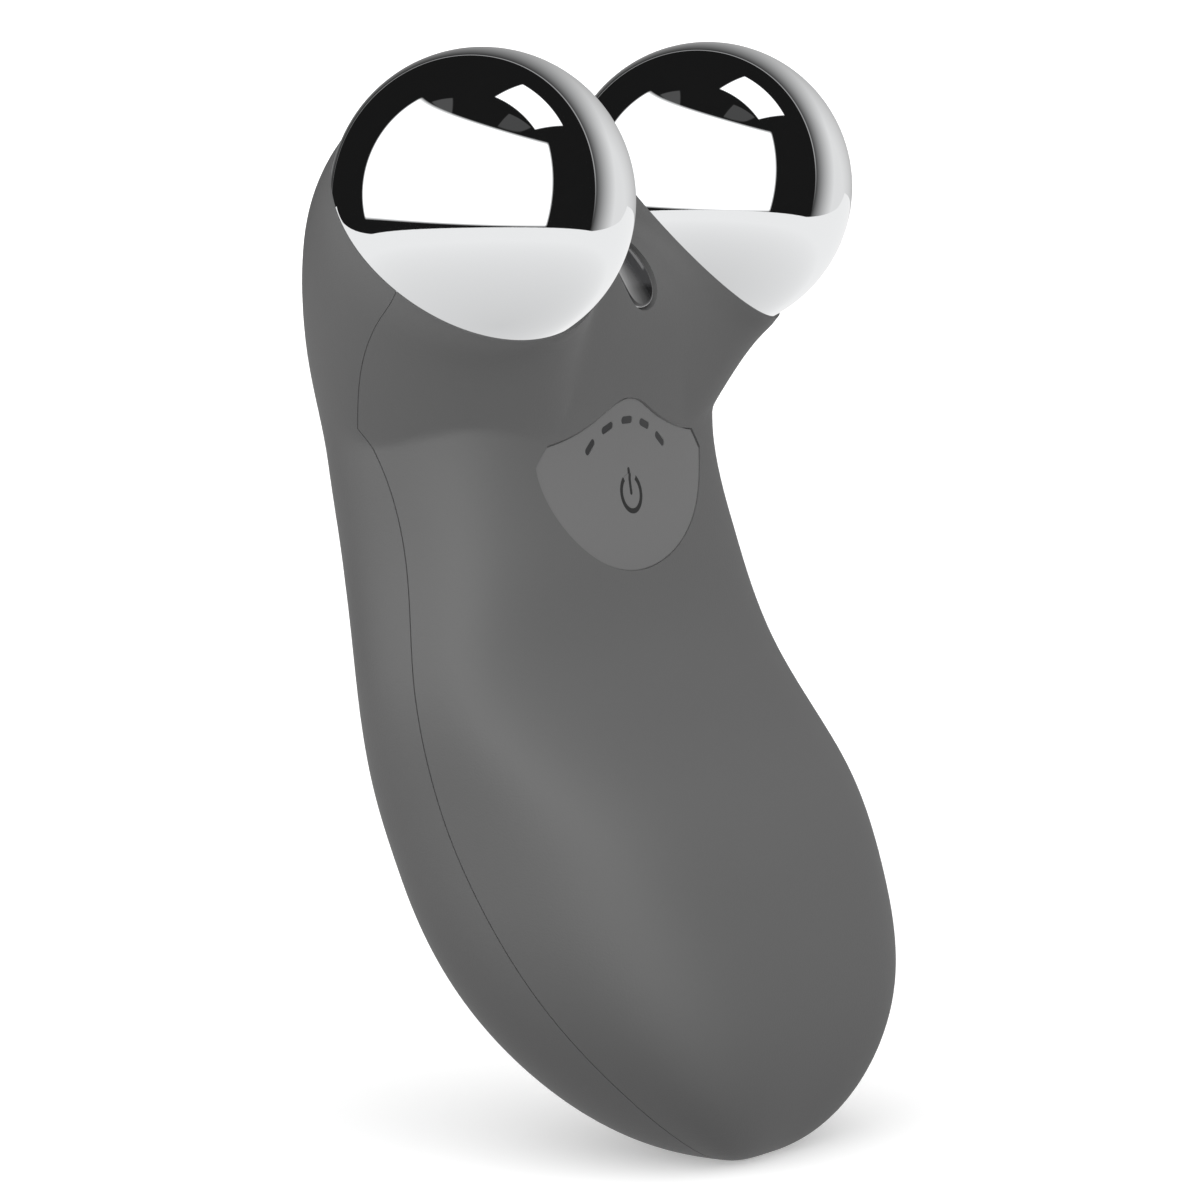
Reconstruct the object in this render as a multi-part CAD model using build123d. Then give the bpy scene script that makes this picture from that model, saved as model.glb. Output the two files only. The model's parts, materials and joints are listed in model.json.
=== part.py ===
from build123d import *
import os
from math import cos, hypot, pi, radians, sin, sqrt, tan

# A two-ball microcurrent facial toner. Millimetres, +Z up, the buttons face -Y, the two
# balls lie left and right of the mirror plane X = 0, and the base rests on Z = 0.

# ---------------------------------------------------------------- balls and their arms
BALL_R = 14.5            # chrome ball
BALL_SPACE = 12.2        # clear width between the two balls
BALL_Y = 1.6
BALL_Z = 92.9
SPLAY = 14.8             # the arm's axis turns outwards by this angle
LEAN = 45.8              # and leans forwards by this one
RIM_SETBACK = 3.5        # the arm's mouth lies this far behind the ball's centre
RIM_LIP = 0.25           # the arm's mouth is this much larger than the ball in radius
BALL_GAP = 0.15          # between a ball and its socket
SOCKET_WALL = 1.6        # behind the socket
BALL_WALL = 2.0          # the balls are hollow
ELBOW_REACH = 8.5        # how far the arm runs straight before it bends down
ARM_FOOT_X = 10.4        # the arm's root inside the neck
ARM_FOOT_Y = 11.6
ARM_FOOT_Z = 64.0
ELBOW_RISE = 10.0
ARM_TAPER = [(0, 0), (0.45, 0.95), (0.95, 1.55), (1.85, 2.45), (2.75, 3.35)]

STUD_R = 2.0             # M4 stud that carries each ball
STUD_FIT = 0.05
STUD_IN_BALL = 7.5       # engagement in the ball's boss
BALL_BOSS_R = 4.0
BALL_BOSS_DEPTH = 8.5
STUD_HOLE_CLEARANCE = 0.2
SEAT_R = 6.0             # flat seat behind the socket, for the terminal and nut
SEAT_THICKNESS = 3.0
TERMINAL_R = 3.6
TERMINAL_THICKNESS = 0.8
TAB_LENGTH = 5.0
TAB_WIDTH = 2.4
NUT_ACROSS_FLATS = 7.0
NUT_THICKNESS = 3.2
STUD_TAIL = 1.0          # beyond the nut
SEAL_SECTION_R = 0.6
SEAL_SETBACK = 9.0       # of the seal's plane, behind the ball's centre
SEAL_CLEARANCE = 0.02

# ---------------------------------------------------------------- handle and head skin
WALL = 2.4
SECTION_HEIGHTS = [0, 14, 25, 36, 47, 58, 70, 82, 94]
HALF_WIDTHS = [20.6, 25.0, 26.7, 28.1, 28.8, 25.75, 24.7, 23.6, 23.0]
FRONT_LINE = [-25.7, -24.6, -21.5, -16.1, -6.0, -3.0, -1.5, -4.4, -3.8]
BACK_LINE = [8.2, 11.4, 14.3, 17.2, 18.7, 22.1, 23.6, 23.6, 23.6]
WIDEST_LINE = [-17.1, -9.0, -3.0, 1.8, 4.0, 6.9, 11.8, 12.4, 12.6]
FRONT_SQUARENESS = 3.6   # exponents of the section's two half super-ellipses
BACK_SQUARENESS = 2.55
BOTTOM_POLE_Y = -15.1    # the skin closes towards this line at the bottom
BOTTOM_RISE = 28.0
BOTTOM_ROUNDNESS = 2.3
FLAT_CUT = 0.283         # the pole lies this far below the resting flat
SADDLE_TOP = 92.5        # the skin closes here between the arms
SADDLE_RISE = 14.0
SADDLE_Y = 9.9
SKIN_HEIGHTS = [0, 0.7, 2, 4.5, 8.5, 15, 21, 29, 38, 48, 58, 68, 77, 81.5, 85.5, 88.5, 90.6, 91.9]
SECTION_POINTS = 16      # on each half of a section

# The line between the two shells, seen from the side: up the handle, then up the arm
SEAM_HANDLE = [(-15.6, 0), (-15.5, 2), (-14.5, 5), (-12.5, 9), (-8.9, 15), (-3.6, 24), (1.1, 34),
               (3.6, 45), (6.9, 58), (10.6, 68), (12.7, 71.2)]
SEAM_ARM = [(12.7, 71.2), (9.8, 77.2), (5.9, 82), (3.2, 85), (2.6, 90), (2.6, 112)]
FRONT_LIFT = 0.3         # the front shell stops this far above the resting flat
LIP_HEIGHT = 1.2         # the back shell's lip that the front shell's groove takes
LIP_WALL = 1.0
LIP_CLEARANCE = 0.1
LIP_BOTTOM = 12.0
LIP_TOP = 66.0

# ---------------------------------------------------------------- button pad
PAD_PROUD = 0.35         # above the skin
PAD_DEPTH = 1.0          # into the skin
PAD_TRAVEL = 0.35
PAD_UNDER_GAP = 0.15     # left under the pad at the end of its travel
PAD_EDGE_GAP = 0.15
PAD_APEX_Z = 73.1
PAD_CORNER = (15.2, 68.95)
PAD_BOTTOM_Z = 56.4
PAD_CORNER_R = 0.8
STEM_R = 1.8
STEM_FIT = 0.05
DASH_ARCH_R = 10.3       # five indicator windows stand on this arch
DASH_ARCH_Z = 60.7
DASH_STEP = 19.3         # degrees between them
DASH_COUNT = 5
DASH_LENGTH = 2.0
DASH_WIDTH = 0.75
DASH_FIT = 0.01
SYMBOL_Z = 64.0
SYMBOL_R = 1.95          # middle of the ring's stroke
SYMBOL_STROKE = 0.4
SYMBOL_GAP = 35.0        # the ring is open by this angle each side of its bar
SYMBOL_BAR = (63.7, 66.4)
SYMBOL_DEPTH = 0.3

# ---------------------------------------------------------------- lens in the saddle
LENS_TIP_Z = 81.8
LENS_TOP_Z = 90.2
LENS_HALF = 3.4
LENS_GAP = 0.15
LENS_SUNK = 0.35
LENS_DEPTH = 1.8

# ---------------------------------------------------------------- circuit board
BOARD_Y = 4.0            # its front face
BOARD_THICKNESS = 1.6
BOARD_HALF_WIDTH = 17.0
BOARD_BOTTOM = 50.5
BOARD_TOP = 75.0
BOARD_CORNER_R = 2.0
BOARD_SCREW_X = 14.5
BOARD_SCREW_Z = (53.5, 71.5)
BOSS_R = 2.3
SCREW_R = 0.9
SCREW_FIT = 0.05
SCREW_HEAD_R = 1.9
SCREW_HEAD = 1.2
SCREW_BITE = 3.4         # length in the boss
SCREW_HOLE_CLEARANCE = 0.2
SWITCH_SIDE = 6.0
SWITCH_HEIGHT = 2.0
PLUNGER_R = 1.6
PLUNGER_FIT = 0.03
PLUNGER_PROUD = 0.8
PLUNGER_IN = 0.6
STEM_TIP_GAP = 0.05
LED_SIZE = (1.6, 0.7, 0.8)
GUIDE_R = 0.9
GUIDE_FIT = 0.05
GUIDE_TIP_Y = 0.3
GUIDE_WEB_THICKNESS = 0.8
CHIP_SIDE = 7.0
CHIP_THICKNESS = 1.0
COIL_R = 3.5
COIL_HEIGHT = 4.0
CAPACITOR_R = 2.0
CAPACITOR_HEIGHT = 5.0
BUZZER_R = 4.5
BUZZER_HEIGHT = 3.0
SOCKET_SIZE = (7.0, 4.5, 4.0)

# ---------------------------------------------------------------- battery and its tray
CELL_WIDTH = 26.0
CELL_THICKNESS = 8.0
CELL_LENGTH = 28.0
CELL_Y = -1.2
CELL_Z = 32.3
CELL_TILT = 15.6
FOAM = 1.0
TRAY_PLATE = 1.5
TRAY_SIDE = 1.0
TRAY_GAP = 0.2
TRAY_HEAD_GAP = 0.1      # between a screw's head and the side wall
TRAY_SCREW_X = CELL_WIDTH / 2 + TRAY_GAP + TRAY_SIDE + TRAY_HEAD_GAP + SCREW_HEAD_R
TRAY_EDGE = 2.3          # the plate beyond its screws' centres
TRAY_WING = TRAY_SCREW_X + TRAY_EDGE
TRAY_SCREW_D = 9.0
TRAY_SIDE_DEPTH = 6.0

# ---------------------------------------------------------------- charging inlet
INLET_Z = 5.2            # where its axis leaves the skin
INLET_TILT = 37.7        # of its axis from straight down
INLET_RECESS_R = 4.4
INLET_RECESS = 1.4
INLET_BODY_R = 3.4
INLET_FIT = 0.05
INLET_LENGTH = 9.2
INLET_BOSS_R = 5.2
INLET_BOSS_DEPTH = 4.8
INLET_FLANGE_R = 5.0
INLET_FLANGE = 1.0
INLET_SEAL = 1.0
INLET_BORE_R = 1.8       # takes a 3.5 mm barrel plug
INLET_BORE_DEPTH = 6.6
INLET_PIN_R = 0.65       # 1.3 mm centre pin
INLET_PIN_SETBACK = 0.8
INLET_MOUTH = 0.1        # the inlet's face lies this far under the recess
INLET_PIN_ROOT_R = 0.9   # where the pin is held in the inlet's back wall
INLET_PIN_TAIL = 1.0

LEAD_R = 0.5


# ================================================================ helpers
def spline_value(heights, values, z):
    """A natural cubic spline through (height, value) stations, read at height z."""
    n = len(heights)
    steps = [heights[i + 1] - heights[i] for i in range(n - 1)]
    slopes = [(values[i + 1] - values[i]) / steps[i] for i in range(n - 1)]
    bend = [0.0] * n
    lead = [0.0] * n
    for i in range(1, n - 1):
        pivot = 2 * (steps[i - 1] + steps[i]) - steps[i - 1] * lead[i - 1]
        lead[i] = steps[i] / pivot
        bend[i] = (6 * (slopes[i] - slopes[i - 1]) - steps[i - 1] * bend[i - 1]) / pivot
    for i in range(n - 3, 0, -1):
        bend[i] -= lead[i] * bend[i + 1]
    k = max(i for i in range(n - 1) if i == 0 or heights[i] <= z)
    a = (heights[k + 1] - z) / steps[k]
    b = (z - heights[k]) / steps[k]
    curve = ((a**3 - a) * bend[k] + (b**3 - b) * bend[k + 1]) * steps[k] ** 2 / 6
    return a * values[k] + b * values[k + 1] + curve


def outline(z, inset):
    """Half width, front, back and widest line of the skin at height z, moved in by inset."""
    low = min((z - inset + FLAT_CUT) / BOTTOM_RISE, 1)
    shut = (1 - (1 - low) ** BOTTOM_ROUNDNESS) ** (1 / BOTTOM_ROUNDNESS)
    high = max((z + inset - (SADDLE_TOP - SADDLE_RISE)) / SADDLE_RISE, 0)
    crown = sqrt(max(1 - high**2, 0))
    half = spline_value(SECTION_HEIGHTS, HALF_WIDTHS, z) * shut * crown
    lines = []
    for line in (FRONT_LINE, BACK_LINE, WIDEST_LINE):
        y = BOTTOM_POLE_Y + (spline_value(SECTION_HEIGHTS, line, z) - BOTTOM_POLE_Y) * shut
        lines.append(SADDLE_Y + (y - SADDLE_Y) * crown)
    front, back, widest = lines
    share = (widest - front) / (back - front)
    front += inset
    back -= inset
    return half - inset, front, back, front + share * (back - front)


def half_section(half, widest, end, squareness):
    """Points evenly spaced along one half of a section, from +X round to -X."""
    dense = 400
    path = []
    for i in range(dense + 1):
        c, s = cos(pi * i / dense), sin(pi * i / dense)
        x = half * (1 if c >= 0 else -1) * abs(c) ** (2 / squareness)
        path.append((x, (end - widest) * max(s, 0) ** (2 / squareness)))
    run = [0.0]
    for p, q in zip(path, path[1:]):
        run.append(run[-1] + hypot(q[0] - p[0], q[1] - p[1]))
    points = []
    k = 0
    for i in range(SECTION_POINTS + 1):
        while k < dense and run[k] < run[-1] * i / SECTION_POINTS - 1e-9:
            k += 1
        points.append((path[k][0], widest + path[k][1]))
    return points


def section(z, inset):
    half, front, back, widest = outline(z, inset)
    front_half = half_section(half, widest, front, FRONT_SQUARENESS)
    back_half = half_section(half, widest, back, BACK_SQUARENESS)
    middle = SECTION_POINTS // 2
    ring = back_half[middle:-1] + front_half[:0:-1] + back_half[:middle]
    evenly = [i / len(ring) for i in range(len(ring) + 1)]
    return Wire([Edge.make_spline([(x, y, z) for x, y in ring], periodic=True, parameters=evenly)])


def skin(inset):
    """The handle and the saddle between the arms, closed, moved in by inset."""
    low = max(inset, 0)
    rising = [low + z for z in SKIN_HEIGHTS if z < 10]
    steady = [z for z in SKIN_HEIGHTS if low + 10 <= z < SADDLE_TOP - low - 0.4]
    return Solid.make_loft([section(z, inset) for z in rising + steady])


def bezier(points, t):
    while len(points) > 1:
        points = [p * (1 - t) + q * t for p, q in zip(points, points[1:])]
    return points[0]


def tube(points, radius):
    """A round lead: straight runs joined by arcs as large as the runs allow."""
    corners = [Vector(*p) for p in points]
    radii = []
    for a, b, c in zip(corners, corners[1:], corners[2:]):
        turn = radians((b - a).get_angle(c - b))
        radii.append(0.45 * min((b - a).length, (c - b).length) / tan(turn / 2))
    path = Wire(FilletPolyline(*corners, radius=radii).edges())
    start = Plane(origin=corners[0], z_dir=(corners[1] - corners[0]).normalized())
    return sweep(start * Circle(radius), path=path).solid()


def rod(plane, radius, start, end):
    """A cylinder along the plane's normal, between two heights above it."""
    return extrude(plane.offset(start) * Circle(radius), end - start).solid()


def ring(plane, inner, outer, start, end):
    return rod(plane, outer, start, end) - rod(plane, inner, start - 1, end + 1)


def slab(plane, x, y, start, end, corner=0):
    """A block centred on the plane's origin, x by y, between two heights above it."""
    face = RectangleRounded(x, y, corner) if corner else Rectangle(x, y)
    return extrude(plane.offset(start) * face, end - start).solid()


def front_prism(sketch, start=-14, end=14):
    """A drawing in X and Z, pushed through the front of the part along +Y."""
    plane = Plane(origin=(0, start, 0), x_dir=(1, 0, 0), z_dir=(0, -1, 0))
    return extrude(plane * sketch, start - end)


def save(name, *solids):
    bodies = []
    for piece in solids:
        bodies.extend(piece.solids())
    shape = bodies[0] if len(bodies) == 1 else Compound(children=bodies)
    shape.label = name
    export_step(shape, f"parts/{name}.step")


# ================================================================ frames
def ball_plane(side):
    """Centre of a ball, its normal along the arm's axis and out of the arm's mouth."""
    splay, lean = radians(SPLAY), radians(LEAN)
    axis = Vector(side * sin(splay), -cos(splay) * sin(lean), cos(splay) * cos(lean))
    centre = Vector(side * (BALL_SPACE / 2 + BALL_R), BALL_Y, BALL_Z)
    sideways = Vector(-axis.Y, axis.X, 0).normalized() * side
    return Plane(origin=centre, x_dir=sideways, z_dir=axis)


def facing(x, y, z):
    """A plane at a point, its normal pointing to the back, its x along +X."""
    return Plane(origin=(x, y, z), x_dir=(1, 0, 0), z_dir=(0, 1, 0))


BALLS = {"left": ball_plane(-1), "right": ball_plane(1)}
SEAT_BACK = BALL_R + SEAT_THICKNESS
tilt = radians(CELL_TILT)
CELL = Plane(origin=(0, CELL_Y, CELL_Z), x_dir=(1, 0, 0), z_dir=(0, cos(tilt), -sin(tilt)))
INLET = Plane(origin=(0, outline(INLET_Z, 0)[2], INLET_Z), x_dir=(1, 0, 0),
              z_dir=(0, sin(radians(INLET_TILT)), -cos(radians(INLET_TILT))))
SCREW_SPOTS = [(x, z) for x in (-BOARD_SCREW_X, BOARD_SCREW_X) for z in BOARD_SCREW_Z]
TRAY_SPOTS = [(x, d) for x in (-TRAY_SCREW_X, TRAY_SCREW_X) for d in (-TRAY_SCREW_D, TRAY_SCREW_D)]
TRAY_FACE = CELL_THICKNESS / 2 + FOAM


# ================================================================ drawings of the pad
def pad_outline(grow=0):
    x, z = PAD_CORNER[0] + grow, PAD_CORNER[1] + grow
    apex, low = PAD_APEX_Z + grow, PAD_BOTTOM_Z - grow
    sides = []
    for s in (-1, 1):
        top = Bezier((0, apex), (s * 3.6, apex), (s * 5.0, z + 0.95), (s * x, z))
        flank = Bezier((s * x, z), (s * (x + 0.5), z - 7), (s * (8.0 + grow), low), (0, low))
        sides += [top, flank]
    face = make_face(Wire(sides))
    corners = face.vertices().filter_by(lambda v: abs(abs(v.X) - x) < 0.01)
    return fillet(corners, PAD_CORNER_R + grow)


def dash_spots():
    spots = []
    for i in range(DASH_COUNT):
        angle = DASH_STEP * (i - (DASH_COUNT - 1) / 2)
        x = DASH_ARCH_R * sin(radians(angle))
        z = DASH_ARCH_Z + DASH_ARCH_R * cos(radians(angle))
        spots.append((x, z, -angle))
    return spots


def dash(spot, grow=0):
    x, z, turn = spot
    return Pos(x, z) * Rot(0, 0, turn) * SlotOverall(DASH_LENGTH + 2 * grow, DASH_WIDTH + 2 * grow)


def power_mark():
    start, sweep_angle = 90 + SYMBOL_GAP, 360 - 2 * SYMBOL_GAP
    inner = CenterArc((0, SYMBOL_Z), SYMBOL_R - SYMBOL_STROKE / 2, start, sweep_angle)
    outer = CenterArc((0, SYMBOL_Z), SYMBOL_R + SYMBOL_STROKE / 2, start, sweep_angle)
    broken_ring = make_face(Wire([inner, outer, Line(inner @ 0, outer @ 0), Line(inner @ 1, outer @ 1)]))
    low, high = SYMBOL_BAR
    bar = Pos(0, (low + high) / 2) * Rot(0, 0, 90) * SlotOverall(high - low, SYMBOL_STROKE)
    return [broken_ring, bar]


def lens_outline(grow=0):
    sides = []
    for s in (-1, 1):
        half = s * (LENS_HALF + grow)
        low, high = LENS_TIP_Z - grow, LENS_TOP_Z + grow
        middle = low + 0.55 * (high - low)
        sides.append(Bezier((0, low), (half * 0.62, low + 0.1), (half, middle - 2.6), (half, middle)))
        sides.append(Bezier((half, middle), (half, middle + 2.0), (half * 0.6, high), (0, high)))
    return make_face(Wire(sides))


# ================================================================ skin pieces
def arm(side, inset=0):
    frame = ball_plane(side)
    mouth = frame.origin - frame.z_dir * RIM_SETBACK
    foot = Vector(side * ARM_FOOT_X, ARM_FOOT_Y, ARM_FOOT_Z)
    spine = [mouth, mouth - frame.z_dir * ELBOW_REACH, foot + Vector(0, 0, ELBOW_RISE), foot]
    wires = []
    rim = BALL_R + RIM_LIP - inset
    for i, (slim, shallow) in enumerate(ARM_TAPER):
        t = i / (len(ARM_TAPER) - 1)
        near, far = bezier(spine, max(t - 0.001, 0)), bezier(spine, min(t + 0.001, 1))
        direction = (far - near).normalized()
        level = Vector(1, 0, 0) - direction * direction.X
        place = Plane(origin=bezier(spine, t), x_dir=level.normalized(), z_dir=direction)
        wires.append((place * Ellipse(rim - slim, (rim - shallow) * 0.9999)).wire())
    return Solid.make_loft(wires)


def seam_region(shift=0):
    """Everything in front of the line between the shells, moved forwards by shift."""
    handle = Spline(*[(0, y - shift, z) for y, z in SEAM_HANDLE])
    head = Spline(*[(0, y - shift, z) for y, z in SEAM_ARM])
    low, high = handle @ 0, head @ 1
    far = -60
    drop = low + Vector(0, 0, -8)
    frame = [Line(low, drop), Line(drop, (0, far, drop.Z)), Line((0, far, drop.Z), (0, far, high.Z)),
             Line((0, far, high.Z), high)]
    face = make_face(Wire([handle, head, *frame]))
    return extrude(face, 60, dir=(1, 0, 0), both=True).solid()


def on_cell(x, d):
    """The battery's frame moved x sideways and d up along the battery."""
    return Plane(origin=CELL.origin + CELL.x_dir * x - CELL.y_dir * d, x_dir=CELL.x_dir, z_dir=CELL.z_dir)


def ball_seal(frame, radius):
    reach = BALL_R + SEAL_SECTION_R + SEAL_CLEARANCE
    major = sqrt(reach**2 - SEAL_SETBACK**2)
    return frame.offset(-SEAL_SETBACK).location * Torus(major, radius)


def shells():
    outer = skin(0) + arm(-1) + arm(1)
    hollow = skin(WALL) + arm(-1, WALL) + arm(1, WALL)
    for frame in BALLS.values():
        centre = Pos(*frame.origin)
        outer -= centre * Sphere(BALL_R + BALL_GAP)
        outer -= rod(frame, STUD_R + STUD_HOLE_CLEARANCE, -SEAT_BACK - 1, -BALL_R)
        outer -= ball_seal(frame, SEAL_SECTION_R + BALL_GAP)
        hollow -= centre * Sphere(BALL_R + BALL_GAP + SOCKET_WALL)
        hollow -= rod(frame, SEAT_R, -SEAT_BACK, -BALL_R)
    wall = outer - hollow
    front_side = seam_region()
    front = wall & front_side
    back = wall - front_side

    inner_skin = skin(WALL - LIP_WALL)
    lip_zone = (seam_region(-0.5) - seam_region(LIP_HEIGHT)) & Pos(0, 0, (LIP_BOTTOM + LIP_TOP) / 2) * Box(
        120, 120, LIP_TOP - LIP_BOTTOM)
    back += (inner_skin - hollow) & lip_zone
    groove_zone = (seam_region(-1) - seam_region(LIP_HEIGHT + LIP_CLEARANCE)) & Pos(
        0, 0, (LIP_BOTTOM + LIP_TOP) / 2) * Box(120, 120, LIP_TOP - LIP_BOTTOM + 2 * LIP_CLEARANCE)
    front -= skin(WALL - LIP_WALL - LIP_CLEARANCE) & groove_zone

    floor_skin = skin(PAD_DEPTH + PAD_TRAVEL + PAD_UNDER_GAP)
    lens_floor = skin(LENS_DEPTH)
    front -= front_prism(pad_outline(PAD_EDGE_GAP)) - floor_skin
    lens_recess = front_prism(lens_outline(), end=9) - lens_floor
    front -= lens_recess
    back -= lens_recess
    front -= rod(facing(0, -6, SYMBOL_Z), STEM_R + STEM_FIT, 0, 10)
    for x, z, _ in dash_spots():
        front -= rod(facing(x, -6, z), GUIDE_R + GUIDE_FIT, 0, 10)
    for x, z in SCREW_SPOTS:
        front += rod(facing(x, BOARD_Y, z), BOSS_R, -WALL * 3, 0) & floor_skin
    for x, z in SCREW_SPOTS:
        front -= rod(facing(x, BOARD_Y, z), SCREW_R + SCREW_FIT, -SCREW_BITE, 1)
    front -= Pos(0, 0, FRONT_LIFT / 2 - 5) * Box(120, 120, FRONT_LIFT + 10)

    for x, d in TRAY_SPOTS:
        back += rod(on_cell(x, d), BOSS_R, TRAY_FACE + TRAY_PLATE, TRAY_FACE + 20) & skin(WALL / 2)
    for x, d in TRAY_SPOTS:
        back -= rod(on_cell(x, d), SCREW_R + SCREW_FIT, TRAY_FACE, TRAY_FACE + TRAY_PLATE + SCREW_BITE)
    back += rod(INLET, INLET_BOSS_R, -INLET_BOSS_DEPTH, 0) & skin(WALL / 4)
    back -= rod(INLET, INLET_RECESS_R, -INLET_RECESS, 5)
    back -= rod(INLET, INLET_BODY_R + INLET_FIT, -20, 5)
    return front, back


def screw(plane):
    """A pan head screw, its head standing on the plane and its shank below."""
    head = rod(plane, SCREW_HEAD_R, 0, SCREW_HEAD)
    head -= extrude(plane.offset(SCREW_HEAD / 3) * RegularPolygon(SCREW_HEAD_R / 2, 6), SCREW_HEAD)
    return head


def button():
    proud = skin(-PAD_PROUD)
    layer = proud - skin(PAD_DEPTH)
    pad = layer & front_prism(pad_outline())
    windows = []
    for spot in dash_spots():
        windows.append(layer & front_prism(dash(spot, -DASH_FIT)))
        pad -= front_prism(dash(spot))
    ink = proud - skin(SYMBOL_DEPTH - PAD_PROUD)
    strokes = [front_prism(face) for face in power_mark()]
    mark = (ink & strokes[0]) + (ink & strokes[1])
    for stroke in strokes:
        pad -= ink & stroke
    switch_top = BOARD_Y - SWITCH_HEIGHT - PLUNGER_PROUD - STEM_TIP_GAP
    stem_root = outline(SYMBOL_Z, 0)[1] + PAD_DEPTH / 2
    pad += rod(facing(0, 0, SYMBOL_Z), STEM_R, stem_root, switch_top)
    save("power_button", pad)
    save("power_symbol", mark)
    for i, window in enumerate(windows, 1):
        save(f"indicator_window_{i}", window)


def saddle_lens():
    layer = skin(LENS_SUNK) - skin(LENS_DEPTH)
    save("saddle_lens", layer & front_prism(lens_outline(-LENS_GAP), end=9))


def balls():
    for name, frame in BALLS.items():
        centre = Pos(*frame.origin)
        ball = centre * Sphere(BALL_R) - centre * Sphere(BALL_R - BALL_WALL)
        ball += rod(frame, BALL_BOSS_R, -BALL_R, -BALL_R + BALL_BOSS_DEPTH) & centre * Sphere(BALL_R - 0.5)
        ball -= rod(frame, STUD_R + STUD_FIT, -BALL_R - 1, -BALL_R + STUD_IN_BALL)
        save(f"{name}_ball", ball)
        save(f"{name}_ball_seal", ball_seal(frame, SEAL_SECTION_R))
        nut_foot = -SEAT_BACK - TERMINAL_THICKNESS - NUT_THICKNESS
        save(f"{name}_stud", rod(frame, STUD_R, nut_foot - STUD_TAIL, -BALL_R + STUD_IN_BALL - STUD_FIT))
        hexagon = RegularPolygon(NUT_ACROSS_FLATS / 2, 6, major_radius=False)
        nut = extrude(frame.offset(nut_foot) * hexagon, NUT_THICKNESS).solid()
        save(f"{name}_nut", nut - rod(frame, STUD_R + STUD_FIT, nut_foot - 1, -SEAT_BACK))
        eye = rod(frame, TERMINAL_R, -SEAT_BACK - TERMINAL_THICKNESS, -SEAT_BACK)
        reach = TERMINAL_R + TAB_LENGTH
        tab_plane = Plane(origin=frame.origin - frame.x_dir * (reach / 2), x_dir=frame.x_dir, z_dir=frame.z_dir)
        eye += slab(tab_plane, reach, TAB_WIDTH, -SEAT_BACK - TERMINAL_THICKNESS, -SEAT_BACK)
        save(f"{name}_terminal", eye - rod(frame, STUD_R + STUD_FIT, -SEAT_BACK - 2, -SEAT_BACK + 1))
        ball_lead(name, frame)


def ball_lead(name, frame):
    side = -1 if name == "left" else 1
    start = frame.origin - frame.z_dir * (SEAT_BACK + TERMINAL_THICKNESS / 2)
    start -= frame.x_dir * (TERMINAL_R + TAB_LENGTH)
    onward = start - frame.x_dir * 3.0
    back_face = BOARD_Y + BOARD_THICKNESS
    path = [start, onward, (side * 4.6, back_face + 4.4, BOARD_TOP + 2.2),
            (side * 6.5, back_face + 3.8, BOARD_TOP - 1.8), (side * 6.5, back_face, BOARD_TOP - 1.8)]
    save(f"{name}_ball_lead", tube(path, LEAD_R))


def board():
    middle = (BOARD_BOTTOM + BOARD_TOP) / 2
    plate = slab(facing(0, BOARD_Y, middle), 2 * BOARD_HALF_WIDTH, BOARD_TOP - BOARD_BOTTOM, 0,
                 BOARD_THICKNESS, BOARD_CORNER_R)
    back_face = BOARD_Y + BOARD_THICKNESS
    screws = []
    for x, z in SCREW_SPOTS:
        plate -= rod(facing(x, BOARD_Y, z), SCREW_R + SCREW_HOLE_CLEARANCE, -1, BOARD_THICKNESS + 1)
        place = facing(x, back_face, z)
        screws.append(screw(place) + rod(place, SCREW_R, -BOARD_THICKNESS - SCREW_BITE, SCREW_HEAD / 4))
    save("circuit_board", plate)
    save("board_screws", *screws)

    switch_face = BOARD_Y - SWITCH_HEIGHT
    well = PLUNGER_IN + PAD_TRAVEL + PAD_UNDER_GAP
    place = facing(0, switch_face, SYMBOL_Z)
    body = slab(place, SWITCH_SIDE, SWITCH_SIDE, 0, SWITCH_HEIGHT, 0.4)
    save("switch_body", body - rod(place, PLUNGER_R + PLUNGER_FIT, -1, well))
    save("switch_plunger", rod(place, PLUNGER_R, -PLUNGER_PROUD, PLUNGER_IN))

    width, height, tall = LED_SIZE
    guide = []
    for i, (x, z, turn) in enumerate(dash_spots(), 1):
        save(f"indicator_led_{i}", slab(facing(x, BOARD_Y - tall, z), width, height, 0, tall))
        guide.append(rod(facing(x, 0, z), GUIDE_R, GUIDE_TIP_Y, BOARD_Y - tall))
    web_y = (GUIDE_TIP_Y + BOARD_Y) / 2
    span = DASH_STEP * (DASH_COUNT - 1)
    inner = CenterArc((0, DASH_ARCH_Z), DASH_ARCH_R - GUIDE_R / 2, 90 - span / 2, span)
    outer = CenterArc((0, DASH_ARCH_Z), DASH_ARCH_R + GUIDE_R / 2, 90 - span / 2, span)
    web = make_face(Wire([inner, outer, Line(inner @ 0, outer @ 0), Line(inner @ 1, outer @ 1)]))
    shape = front_prism(web, web_y, web_y + GUIDE_WEB_THICKNESS)
    for pillar in guide:
        shape += pillar
    save("light_guide", shape)

    save("controller_chip", slab(facing(0, back_face, 66), CHIP_SIDE, CHIP_SIDE, 0, CHIP_THICKNESS))
    save("boost_coil", rod(facing(-9, back_face, 66.5), COIL_R, 0, COIL_HEIGHT))
    save("buzzer", ring(facing(-8, back_face, 56.8), BUZZER_R / 6, BUZZER_R, 0, BUZZER_HEIGHT))
    for i, z in enumerate((67.6, 62.9), 1):
        save(f"capacitor_{i}", rod(facing(9.5, back_face, z), CAPACITOR_R, 0, CAPACITOR_HEIGHT))
    x_size, z_size, y_size = SOCKET_SIZE
    save("battery_socket", slab(facing(8, back_face, 58.2), x_size, z_size, 0, y_size))
    save("battery_plug", slab(facing(8, back_face + 0.1, 58.2 - z_size / 2 - 1.75), 6, 3.5, 0, 3.5))


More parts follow.
